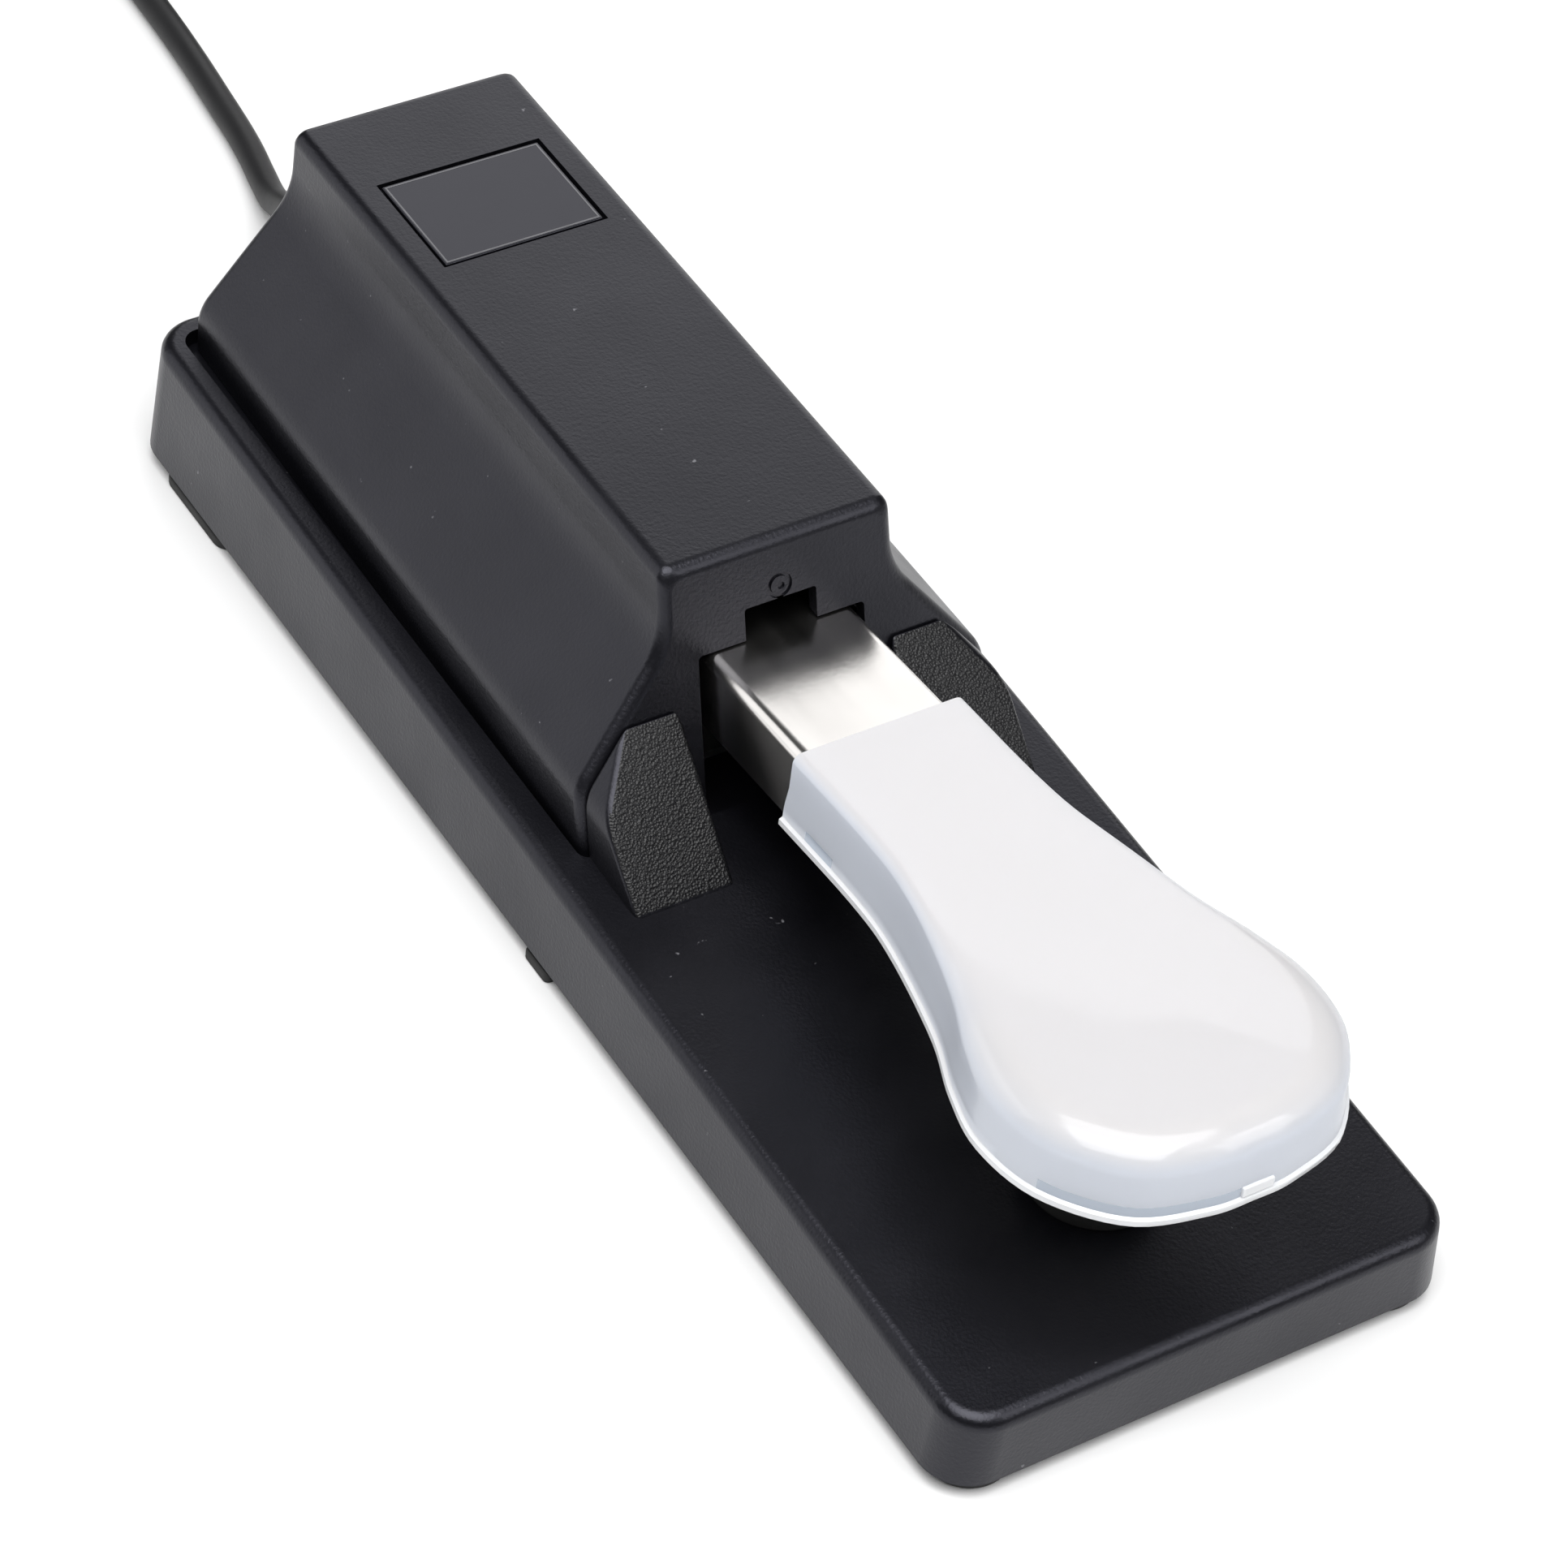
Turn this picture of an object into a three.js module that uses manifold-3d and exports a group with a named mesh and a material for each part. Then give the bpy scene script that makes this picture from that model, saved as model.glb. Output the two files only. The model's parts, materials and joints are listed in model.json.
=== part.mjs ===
// Sustain pedal for a keyboard. Millimetres, +Z up, toe towards -Y, heel and cord towards +Y, floor at z = 0.
import * as THREE from "three";
import { mergeVertices } from "three/addons/utils/BufferGeometryUtils.js";
import Module from "manifold-3d";

const wasm = await Module();
wasm.setup();

// Between two pieces that touch.
const GAP = 0.3;
// Between a turning or sliding piece and its guide, and round a screw in its hole.
const RUNNING_GAP = 0.05;
// Taller or deeper than anything, for cutting right through.
const FAR = 400;

// Base: a wedge that is higher at the heel.
const LENGTH = 245;
const BASE_HALF_WIDTH = 43.1;
const BASE_TOP_HALF_WIDTH = 42.2;
const BASE_BOTTOM = 2.2;
const BASE_TOP = 20;
const BASE_SLOPE = 0.0375;
const BASE_WALL = 2.5;
const HEEL_TOP_Y = 121.3;
const TOE_Y = -LENGTH / 2;
const HEEL_Y = LENGTH / 2;
const CORNER_RADIUS = 7.5;

const SIDES = [
  ["left", -1],
  ["right", 1],
];
const FEET = {
  toe: { radius: 6.5, x: 35, y: -115 },
  middle: { inner: 37, outer: 43.2, front: -12.4, rear: -5.6 },
  heel: { inner: 30, outer: 43, front: 91.8, rear: 112.6 },
};

// Recess in the base's top that the housing stands in.
const RECESS_DEPTH = 2.8;
const RECESS_FRONT_Y = -8.6;
const RECESS_FRONT_HALF_WIDTH = 36.2;
const RECESS_REAR_HALF_WIDTH = 38.3;
const RECESS_CORNER = 1.2;
const LEDGE_THICKNESS = 2.2;
const BAY = { halfWidth: 33, cornerHalfWidth: 24, front: 4, rear: 111, corner: 10 };

// Housing: a hat section with a skirt, two slopes and an upright hump.
const SKIRT_HALF_WIDTH = 35.7;
const SKIRT_TOP = 29.6;
const HUMP_HALF_WIDTH = 20;
const HUMP_FOOT = 48.3;
const HOUSING_TOP = 59.8;
const HOUSING_WALL = 2.2;
const HOUSING_REAR_Y = 117;
const HOUSING_FRONT_Y = -12.6;
const FRONT_LEAN = 0.268;
const SLOT = { halfWidth: 14.3, top: 44.8 };
const NOTCH = { halfWidth: 6.15, top: 49.9 };
const BADGE = { halfWidth: 14.4, front: 77.3, rear: 99.1, depth: 1.1 };

// Fairings: the base's two shoulders beside the lever.
const FAIRING = { inset: 0.7, inner: 18.2, tipY: -22.3, tipZ: 19.2, rise: 0.9635, wall: 2.6 };

// Lever and its cap: both rise towards the toe.
const LEVER_TOP = 44.4;
const LEVER_SLOPE = -0.085;
const LEVER_SHEET = 1.6;
const LEVER_PLATE = 1.8;
const LEVER_DEPTH = 13;
const LEVER_TAIL_Y = 95;
const TOE_DEPTH = 10;
const CAP_REAR_Y = -27;
const CAP_TOE_Y = -122.3;
const CAP_TOP = 45.9;
const CAP_DEPTH = 13.5;
const CAP_WALL = 1.7;
const CAP_ROOF = 1.2;
// Half-width and y of the cap's outline, from its rear edge to its toe.
const CAP_STATIONS = [
  [15, CAP_REAR_Y],
  [15.1, -47],
  [16.4, -59],
  [20.5, -76],
  [24.7, -87],
  [26.9, -97],
  [25, -108.4],
  [17.3, -118.4],
  [7, -121.9],
  [0, CAP_TOE_Y],
];
const BUMPER = { y: -91, radius: 10.7, low: 16.2, top: 19.6 };
const PIVOT = { y: 78, z: 31.5, radius: 2.5 };
const BUSH = { bore: PIVOT.radius + RUNNING_GAP, sleeve: 4, head: 5.5 };
// Bent down from the lever: one tongue meets the bumper, one tab presses the switch.
const STOP_TONGUE = { halfWidth: 5, low: 40.6 };
const SWITCH_TAB = { halfWidth: 3, low: 27.3 };
const TAB_HALF_THICKNESS = 1;

// Chassis of folded steel that stands on the bottom plate.
const PLATE_THICKNESS = 1.6;
const PLATE_TOP = BASE_BOTTOM + PLATE_THICKNESS;
const CHASSIS = {
  halfWidth: 16.6,
  sheet: 1.6,
  front: 15,
  rear: 97.6,
  low: PLATE_TOP + GAP,
  earTop: 40,
};
const CHASSIS_FLOOR = CHASSIS.low + CHASSIS.sheet;
const SPRING = { y: 30, radius: 6.2, wire: 0.9, turns: 8, low: 7.9, top: 39.2 };
const BOARD = { halfWidth: 13, front: 43, rear: 68, low: 9, top: 10.6 };
const BOARD_SCREWS = { x: 9, y: 47, hole: 1.6, radius: 1.3 };
const SWITCH = { y: 60, halfWidth: 6, halfLength: 6.5, top: 24, well: 16.5 };
const PLUNGER = { halfWidth: 2, halfLength: 2.5, low: 19.5, top: 27 };
const POLARITY = { x: 29, halfWidth: 5, front: 38, rear: 50, top: 9.1, knobY: 42, travel: 3 };
const KNOB = { half: 1.5, low: 1, top: 7 };
// Rubber pad under the lever's tail, which holds the lever at rest.
const REST_PAD = { halfWidth: 14, front: 89.5, rear: 94.5, low: 20.5, top: 23.05 };

// Screws: [x, y] in the order toe left, toe right, heel left, heel right.
const HOUSING_SCREWS = [
  [-29, 8.5],
  [29, 8.5],
  [-29, 106.5],
  [29, 106.5],
];
const PLATE_SCREWS = [
  [-34, -100],
  [34, -100],
  [-36, 86],
  [36, 86],
];
const SCREW_RADIUS = 1.5;
const SCREW_HOLE = SCREW_RADIUS + RUNNING_GAP + 0.05;
const HOUSING_SCREW_REACH = 10;
const PLATE_SCREW_TOP = 10.5;

// Cord, and the neat coil that its unused length lies in.
const CORD_RADIUS = 2.5;
const CORD_Z = 13;
const CORD_HOLE = 4.5;
const CLAMP = { halfWidth: 12, y: 106, halfLength: 3, top: 17.5, screwX: 8 };
// Hand-chosen way of the cord: out of the heel, down to the floor and along it to the coil.
const CORD_ROUTE = [
  [0, 101, CORD_Z],
  [0, 121, CORD_Z],
  [0, 143, CORD_Z],
  [0.8, 150, 11.6],
  [2.2, 157, 7.8],
  [3.8, 164, 4.1],
  [5.5, 171, 2.8],
  [7.3, 180, 2.6],
  [8.8, 194, 2.6],
  [10.1, 208.6, 2.6],
  [10.9, 223.6, 2.6],
  [11.5, 239, 2.6],
];
const LEAD_RADIUS = 0.7;
const COIL = { x: 44, y: 262, z: 9.4, radius: 27.5, inner: 22.4, thickness: 8 };
const END_TURN = 20;
const PLUG = {
  shaft: 3.17,
  x: COIL.x - COIL.inner + 2 * END_TURN,
  y: COIL.y + 8,
  z: COIL.z + COIL.thickness + GAP + 6,
};

const MATERIALS = {
  black_abs: { color: 0x0d0d0f, roughness: 0.35, metalness: 0 },
  nickel: { color: 0xc9c6bf, roughness: 0.16, metalness: 1 },
  cap_plastic: { color: 0xc5cad2, roughness: 0.28, metalness: 0 },
  zinc_steel: { color: 0xa5a7a8, roughness: 0.4, metalness: 1 },
  rubber: { color: 0x141414, roughness: 0.85, metalness: 0 },
  gloss_plastic: { color: 0x08080b, roughness: 0.1, metalness: 0 },
  nylon: { color: 0xd9d4c6, roughness: 0.5, metalness: 0 },
  circuit_board: { color: 0x9b7a3d, roughness: 0.5, metalness: 0 },
  switch_plastic: { color: 0x1b2c55, roughness: 0.45, metalness: 0 },
  cord_vinyl: { color: 0x101011, roughness: 0.6, metalness: 0 },
  lead_vinyl: { color: 0x9c1f1c, roughness: 0.5, metalness: 0 },
};
for (const [name, look] of Object.entries(MATERIALS)) {
  MATERIALS[name] = new THREE.MeshStandardMaterial({ name, ...look });
}

const pedal = new THREE.Group();
pedal.name = "sustain_pedal";

// ---- solids ----

function solidOf(geometry) {
  const bare = geometry.clone();
  bare.deleteAttribute("normal");
  bare.deleteAttribute("uv");
  const merged = mergeVertices(bare, 1e-3);
  return new wasm.Manifold(
    new wasm.Mesh({
      numProp: 3,
      vertProperties: merged.attributes.position.array,
      triVerts: new Uint32Array(merged.index.array),
    }),
  );
}

function addPiece(name, solid, material) {
  const made = solid.getMesh();
  const geometry = new THREE.BufferGeometry();
  geometry.setAttribute("position", new THREE.BufferAttribute(made.vertProperties, 3));
  geometry.setIndex(new THREE.BufferAttribute(made.triVerts, 1));
  const mesh = new THREE.Mesh(geometry, MATERIALS[material]);
  mesh.name = name;
  pedal.add(mesh);
}

function sum(...solids) {
  return solids.reduce((whole, solid) => whole.add(solid));
}

function block([x0, x1], [y0, y1], [z0, z1]) {
  const box = new THREE.BoxGeometry(x1 - x0, y1 - y0, z1 - z0);
  return solidOf(box.translate((x0 + x1) / 2, (y0 + y1) / 2, (z0 + z1) / 2));
}

// A block that is centred on x = 0.
function middleBlock(halfWidth, ySpan, zSpan) {
  return block([-halfWidth, halfWidth], ySpan, zSpan);
}

// The span from `inner` to `outer` to the left (side -1) or to the right (side 1) of x = 0.
function spanOnSide(side, inner, outer) {
  return side > 0 ? [inner, outer] : [-outer, -inner];
}

// Points of an outline whose corners [u, v, radius] are rounded with arcs.
function rounded(corners, steps = 3) {
  const points = [];
  corners.forEach(([u, v, radius], i) => {
    const corner = new THREE.Vector2(u, v);
    if (!radius) {
      points.push(corner);
      return;
    }
    const before = corners[(i + corners.length - 1) % corners.length];
    const after = corners[(i + 1) % corners.length];
    const back = new THREE.Vector2(before[0], before[1]).sub(corner).normalize();
    const on = new THREE.Vector2(after[0], after[1]).sub(corner).normalize();
    const half = Math.acos(THREE.MathUtils.clamp(back.dot(on), -1, 1)) / 2;
    const centre = back.clone().add(on).setLength(radius / Math.sin(half)).add(corner);
    const from = back.multiplyScalar(radius / Math.tan(half)).add(corner).sub(centre).angle();
    const to = on.multiplyScalar(radius / Math.tan(half)).add(corner).sub(centre).angle();
    const sweep = Math.atan2(Math.sin(to - from), Math.cos(to - from));
    for (let step = 0; step <= steps; step++) {
      const angle = from + (sweep * step) / steps;
      points.push(new THREE.Vector2(Math.cos(angle), Math.sin(angle)).multiplyScalar(radius).add(centre));
    }
  });
  return points;
}

// Outlines are in (x, y), (x, z) and (y, z).
function prismZ(points, [low, high]) {
  const made = new THREE.ExtrudeGeometry(new THREE.Shape(points), { depth: high - low, bevelEnabled: false });
  return solidOf(made.translate(0, 0, low));
}

function prismY(points, [low, high]) {
  const made = new THREE.ExtrudeGeometry(new THREE.Shape(points), { depth: high - low, bevelEnabled: false });
  return solidOf(made.rotateX(Math.PI / 2).translate(0, high, 0));
}

function prismX(points, [low, high]) {
  const made = new THREE.ExtrudeGeometry(new THREE.Shape(points), { depth: high - low, bevelEnabled: false });
  const turn = new THREE.Matrix4().makeBasis(
    new THREE.Vector3(0, 1, 0),
    new THREE.Vector3(0, 0, 1),
    new THREE.Vector3(1, 0, 0),
  );
  return solidOf(made.applyMatrix4(turn).translate(low, 0, 0));
}

function disc(radius, [x, y], [low, high], sides = 20) {
  const made = new THREE.CylinderGeometry(radius, radius, high - low, sides).rotateX(Math.PI / 2);
  return solidOf(made.translate(x, y, (low + high) / 2));
}

function rodX(radius, [low, high], y, z, sides = 20) {
  const made = new THREE.CylinderGeometry(radius, radius, high - low, sides).rotateZ(Math.PI / 2);
  return solidOf(made.translate((low + high) / 2, y, z));
}

function rodY(radius, [low, high], x, z, sides = 20) {
  const made = new THREE.CylinderGeometry(radius, radius, high - low, sides);
  return solidOf(made.translate(x, (low + high) / 2, z));
}

// A turned piece about a vertical line; its profile is [radius, z] from the bottom round the outside.
function turned(profile, [x, y], sides = 20) {
  const points = profile.map(([radius, z]) => new THREE.Vector2(radius, z));
  return solidOf(new THREE.LatheGeometry(points, sides).rotateX(Math.PI / 2).translate(x, y, 0));
}

// A turned piece about a line along Y; its profile is [radius, y] with y rising.
function turnedY(profile, x, z, sides = 20) {
  const points = profile.map(([radius, y]) => new THREE.Vector2(radius, y));
  return solidOf(new THREE.LatheGeometry(points, sides).translate(x, 0, z));
}

function tube(route, radius, steps, sides = 10) {
  const ring = [];
  for (let i = 0; i < sides; i++) {
    const angle = (2 * Math.PI * i) / sides;
    ring.push(new THREE.Vector2(radius * Math.cos(angle), radius * Math.sin(angle)));
  }
  const path = new THREE.CatmullRomCurve3(route.map((point) => new THREE.Vector3(...point)));
  return solidOf(new THREE.ExtrudeGeometry(new THREE.Shape(ring), { steps, extrudePath: path }));
}

// The solid slid up or down in proportion to y.
function sloped(solid, slope) {
  const shear = new THREE.Matrix4().makeShear(0, 0, 0, slope, 0, 0);
  return solid.transform(shear.toArray());
}

// Everything under a plane that runs along the base's top, `drop` below it.
function belowBaseTop(drop) {
  return sloped(middleBlock(FAR, [-FAR, FAR], [-FAR, BASE_TOP - drop]), BASE_SLOPE);
}

function baseTopAt(y) {
  return BASE_TOP + BASE_SLOPE * y;
}

function mirrored(points) {
  const left = points.map(([x, z, radius]) => [-x, z, radius]).reverse();
  return [...points, ...left];
}

// ---- base ----

function baseBody(inset) {
  const low = inset ? -FAR : BASE_BOTTOM;
  const corner = Math.max(CORNER_RADIUS - inset, 2);
  const edge = inset ? 0 : 2;
  const section = rounded(
    mirrored([
      [BASE_HALF_WIDTH - inset, -FAR, 0],
      [BASE_HALF_WIDTH - inset, 0, 0],
      [BASE_TOP_HALF_WIDTH - inset, BASE_TOP - inset, edge],
    ]),
  );
  const side = rounded([
    [TOE_Y + inset, low, 0],
    [HEEL_Y - inset, low, 0],
    [HEEL_Y - inset, BASE_BOTTOM, 0],
    [HEEL_TOP_Y - inset, baseTopAt(HEEL_TOP_Y) - inset, edge / 2],
    [TOE_Y + inset, baseTopAt(TOE_Y) - inset, edge],
  ]);
  const plan = rounded(
    [
      [BASE_HALF_WIDTH - inset, TOE_Y + inset, corner],
      [BASE_HALF_WIDTH - inset, HEEL_Y - inset, corner],
      [inset - BASE_HALF_WIDTH, HEEL_Y - inset, corner],
      [inset - BASE_HALF_WIDTH, TOE_Y + inset, corner],
    ],
    5,
  );
  return sloped(prismY(section, [-FAR, FAR]), BASE_SLOPE)
    .intersect(prismX(side, [-FAR, FAR]))
    .intersect(prismZ(plan, [-FAR, FAR]));
}

function recess(margin) {
  const front = RECESS_FRONT_Y - margin;
  const rear = HOUSING_REAR_Y + GAP + margin;
  const plan = rounded([
    [RECESS_FRONT_HALF_WIDTH + margin, front, RECESS_CORNER],
    [RECESS_REAR_HALF_WIDTH + margin, rear, RECESS_CORNER],
    [-RECESS_REAR_HALF_WIDTH - margin, rear, RECESS_CORNER],
    [-RECESS_FRONT_HALF_WIDTH - margin, front, RECESS_CORNER],
  ]);
  return prismZ(plan, [-FAR, FAR]);
}

// The part of the opening under the housing that narrows at its four corners, where the screws stand.
function bayOpening() {
  const throughZ = [-FAR, FAR];
  return sum(
    middleBlock(BAY.cornerHalfWidth, [BAY.front, BAY.rear], throughZ),
    middleBlock(BAY.halfWidth, [BAY.front + BAY.corner, BAY.rear - BAY.corner], throughZ),
  );
}

// Hat section, `inset` inside the housing's outside.
function hatSection(inset, bottom) {
  const run = SKIRT_HALF_WIDTH - HUMP_HALF_WIDTH;
  const rise = HUMP_FOOT - SKIRT_TOP;
  const skirt = SKIRT_HALF_WIDTH - inset;
  const hump = HUMP_HALF_WIDTH - inset;
  const slopeAt = (x) => SKIRT_TOP + ((SKIRT_HALF_WIDTH - x) * rise - inset * Math.hypot(run, rise)) / run;
  return rounded(
    mirrored([
      [skirt, bottom, 0],
      [skirt, slopeAt(skirt), 3],
      [hump, slopeAt(hump), inset ? 3 : 5],
      [hump - 0.3, HOUSING_TOP - inset, 1.5],
    ]),
  );
}

function frontFaceY(z) {
  return HOUSING_FRONT_Y + FRONT_LEAN * z;
}

// A shoulder on each side: the housing's section carried forward and cut by a ramp.
function fairing(side, inset) {
  const { inner, tipY, tipZ, rise, wall } = FAIRING;
  const lowered = inset ? wall : 0;
  const rampZ = (y) => tipZ - lowered * Math.hypot(1, rise) + rise * (y - tipY);
  const behind = GAP + inset;
  const topZ = rampZ(HOUSING_FRONT_Y - behind) / (1 - rise * FRONT_LEAN);
  const profile = [
    [tipY + lowered / 2, rampZ(tipY + lowered / 2)],
    [tipY + lowered / 2, BASE_BOTTOM + 12 - inset],
    [frontFaceY(BASE_BOTTOM + 12) - behind, BASE_BOTTOM + 12 - inset],
    [frontFaceY(topZ) - behind, topZ],
  ].map(([y, z]) => new THREE.Vector2(y, z));
  const section = prismY(hatSection(FAIRING.inset + inset, 0), [-FAR, FAR]);
  return prismX(profile, spanOnSide(side, inner + inset, FAR)).intersect(section);
}

function baseShell() {
  const outer = baseBody(0);
  const cavityRoof = RECESS_DEPTH + LEDGE_THICKNESS;
  const inner = baseBody(BASE_WALL);
  const cavity = inner.subtract(recess(2)).add(inner.intersect(belowBaseTop(cavityRoof)));
  const standing = outer.subtract(recess(0).subtract(belowBaseTop(RECESS_DEPTH)));
  let shell = standing
    .subtract(cavity)
    .subtract(bayOpening())
    .subtract(disc(BUMPER.radius + GAP, [0, BUMPER.y], [BUMPER.low - GAP, FAR], 32));
  for (const side of [-1, 1]) {
    shell = shell.add(fairing(side, 0)).subtract(fairing(side, FAIRING.wall));
  }
  for (const place of PLATE_SCREWS) {
    const boss = disc(4, place, [PLATE_TOP + GAP, FAR]).intersect(belowBaseTop(BASE_WALL / 2));
    const hole = disc(SCREW_HOLE, place, [0, PLATE_SCREW_TOP + 0.5], 12);
    shell = shell.add(boss.intersect(standing)).subtract(hole);
  }
  for (const place of HOUSING_SCREWS) {
    shell = shell.subtract(disc(SCREW_HOLE, place, [0, 24], 12));
  }
  return shell.subtract(rodY(CORD_HOLE, [HOUSING_REAR_Y - 7, FAR], 0, CORD_Z));
}

function bottomPlate() {
  const halfWidth = BASE_HALF_WIDTH - BASE_WALL - 2 * GAP;
  const end = HEEL_Y - BASE_WALL - 3 * GAP;
  const corner = CORNER_RADIUS - BASE_WALL;
  const outline = rounded([
    [halfWidth, -end, corner],
    [halfWidth, end, corner],
    [-halfWidth, end, corner],
    [-halfWidth, -end, corner],
  ]);
  let plate = prismZ(outline, [BASE_BOTTOM, PLATE_TOP]);
  const countersink = [
    [0, 0],
    [3.1, 0],
    [3.1, BASE_BOTTOM],
    [SCREW_HOLE, PLATE_TOP],
    [SCREW_HOLE, FAR],
    [0, FAR],
  ];
  for (const place of PLATE_SCREWS) plate = plate.subtract(turned(countersink, place, 16));
  for (const [, side] of SIDES) {
    plate = plate.subtract(disc(SCREW_HOLE, [side * CLAMP.screwX, CLAMP.y], [0, FAR], 12));
  }
  const { x, knobY, travel } = POLARITY;
  const reach = KNOB.half + 3 * GAP;
  return plate.subtract(block([x - reach, x + reach], [knobY - reach, knobY + travel + reach], [0, FAR]));
}

function addFeet() {
  const z = [0, BASE_BOTTOM - GAP];
  const { toe, middle, heel } = FEET;
  for (const [name, side] of SIDES) {
    addPiece("foot_toe_" + name, disc(toe.radius, [side * toe.x, toe.y], z, 28), "rubber");
    for (const [place, foot] of [
      ["middle", middle],
      ["heel", heel],
    ]) {
      const pad = block(spanOnSide(side, foot.inner, foot.outer), [foot.front, foot.rear], z);
      addPiece("foot_" + place + "_" + name, pad, "rubber");
    }
  }
}

// ---- housing ----

function housingBody(inset) {
  const behindFront = inset * Math.hypot(1, FRONT_LEAN);
  const top = HOUSING_TOP - inset;
  const side = rounded([
    [frontFaceY(0) + behindFront, 0, 0],
    [HOUSING_REAR_Y - inset, 0, 0],
    [HOUSING_REAR_Y - inset, top, 2],
    [frontFaceY(top) + behindFront, top, 1.5],
  ]);
  return prismY(hatSection(inset, 0), [-FAR, FAR]).intersect(prismX(side, [-FAR, FAR]));
}

function housingCover() {
  const outer = housingBody(0);
  const seat = RECESS_DEPTH - GAP;
  let cover = outer.subtract(housingBody(HOUSING_WALL));
  for (const place of HOUSING_SCREWS) {
    cover = cover.add(disc(3.6, place, [10, 40]).intersect(outer));
    cover = cover.subtract(disc(SCREW_HOLE, place, [0, 29], 12));
  }
  const wallSpan = [-20, 8];
  return cover
    .subtract(belowBaseTop(seat))
    .subtract(middleBlock(SLOT.halfWidth, wallSpan, [0, SLOT.top]))
    .subtract(middleBlock(NOTCH.halfWidth, wallSpan, [SLOT.top - 1, NOTCH.top]))
    .subtract(middleBlock(BADGE.halfWidth, [BADGE.front, BADGE.rear], [HOUSING_TOP - BADGE.depth, FAR]));
}

function badgePlate() {
  const edge = 2 * GAP;
  const ySpan = [BADGE.front + edge, BADGE.rear - edge];
  return middleBlock(BADGE.halfWidth - edge, ySpan, [HOUSING_TOP - BADGE.depth + GAP, HOUSING_TOP - 0.1]);
}

// ---- lever and cap ----

// Outline of the cap or of what lies `inset` inside it, carried back to rearY.
function pedalOutline(inset, rearY, steps) {
  const curve = new THREE.SplineCurve(CAP_STATIONS.map(([x, y]) => new THREE.Vector2(x, y)));
  const half = [[CAP_STATIONS[0][0] - inset, rearY]];
  for (let step = 0; step <= steps; step++) {
    const t = step / steps;
    const point = curve.getPoint(t);
    const along = curve.getTangent(t);
    const x = step === steps ? 0 : point.x + along.y * inset;
    const y = step === steps ? CAP_TOE_Y + inset : point.y - along.x * inset;
    if (y < rearY - 0.1 && x >= 0) half.push([x, y]);
  }
  const right = half.map(([x, y]) => new THREE.Vector2(x, y));
  const left = half
    .slice(0, -1)
    .reverse()
    .map(([x, y]) => new THREE.Vector2(-x, y));
  return [...right, ...left].reverse();
}

// A lid-shaped solid under a plane that rises with the lever; its top edge is rounded.
function pedalBody(inset, rearY, top, depth, edge, steps) {
  const outline = pedalOutline(inset, rearY, steps);
  const bevel = { bevelThickness: edge, bevelSize: edge, bevelOffset: -edge, bevelSegments: 2 };
  const made = new THREE.ExtrudeGeometry(new THREE.Shape(outline), { depth: depth, ...bevel });
  const raised = solidOf(made.translate(0, 0, top - depth - edge));
  return sloped(raised.intersect(middleBlock(FAR, [-FAR, FAR], [top - depth, FAR])), LEVER_SLOPE);
}

function leverTopAt(y) {
  return LEVER_TOP + LEVER_SLOPE * y;
}

function leverTab({ halfWidth, low }, y) {
  const ySpan = [y - TAB_HALF_THICKNESS, y + TAB_HALF_THICKNESS];
  return middleBlock(halfWidth, ySpan, [low, leverTopAt(y) - 1]);
}

function lever() {
  const inset = CAP_WALL + GAP;
  const outer = pedalBody(inset, LEVER_TAIL_Y, LEVER_TOP, LEVER_DEPTH, 1.6, 22);
  const inner = pedalBody(
    inset + LEVER_SHEET,
    FAR / 2,
    LEVER_TOP - LEVER_PLATE,
    LEVER_DEPTH + 10,
    0.8,
    22,
  );
  // Under the cap the flanges are shorter, so that the cap's rim hides them.
  const toeTrim = sloped(
    middleBlock(FAR, [-FAR, CAP_REAR_Y - 2], [0, LEVER_TOP - TOE_DEPTH]),
    LEVER_SLOPE,
  );
  return outer
    .subtract(inner)
    .subtract(toeTrim)
    .add(leverTab(STOP_TONGUE, BUMPER.y))
    .add(leverTab(SWITCH_TAB, SWITCH.y))
    .subtract(rodX(4 + GAP, [-FAR, FAR], PIVOT.y, PIVOT.z));
}

function pedalCap() {
  const outer = pedalBody(0, CAP_REAR_Y, CAP_TOP, CAP_DEPTH, 2.2, 26);
  const inner = pedalBody(CAP_WALL, FAR / 2, CAP_TOP - CAP_ROOF, CAP_DEPTH + 10, 1.4, 26);
  return outer.subtract(inner);
}

// ---- mechanism ----

function chassis() {
  const { halfWidth, sheet, front, rear, low, earTop } = CHASSIS;
  const shelf = REST_PAD.low - GAP;
  let frame = sum(
    middleBlock(halfWidth, [front, rear], [low, CHASSIS_FLOOR]),
    middleBlock(REST_PAD.halfWidth, [rear - sheet, rear], [low, shelf]),
    middleBlock(REST_PAD.halfWidth, [REST_PAD.front, rear], [shelf - sheet, shelf]),
  );
  for (const [, side] of SIDES) {
    const ear = spanOnSide(side, halfWidth - sheet, halfWidth);
    const place = [side * BOARD_SCREWS.x, BOARD_SCREWS.y];
    frame = frame
      .add(block(ear, [PIVOT.y - 9, PIVOT.y + 8], [low, earTop]))
      .add(disc(3, place, [CHASSIS_FLOOR - 1, BOARD.low - GAP]))
      .subtract(disc(BOARD_SCREWS.radius + RUNNING_GAP, place, [CHASSIS_FLOOR, FAR], 12));
  }
  return frame
    .subtract(middleBlock(4, [rear - 2 * sheet, rear + 1], [9, 17]))
    .subtract(rodX(PIVOT.radius + RUNNING_GAP, [-FAR, FAR], PIVOT.y, PIVOT.z, 24));
}

// A ring round the pivot pin.
function pivotRing([inner, outer], xSpan) {
  const bore = rodX(inner, [-FAR, FAR], PIVOT.y, PIVOT.z, 24);
  return rodX(outer, xSpan, PIVOT.y, PIVOT.z, 24).subtract(bore);
}

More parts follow.
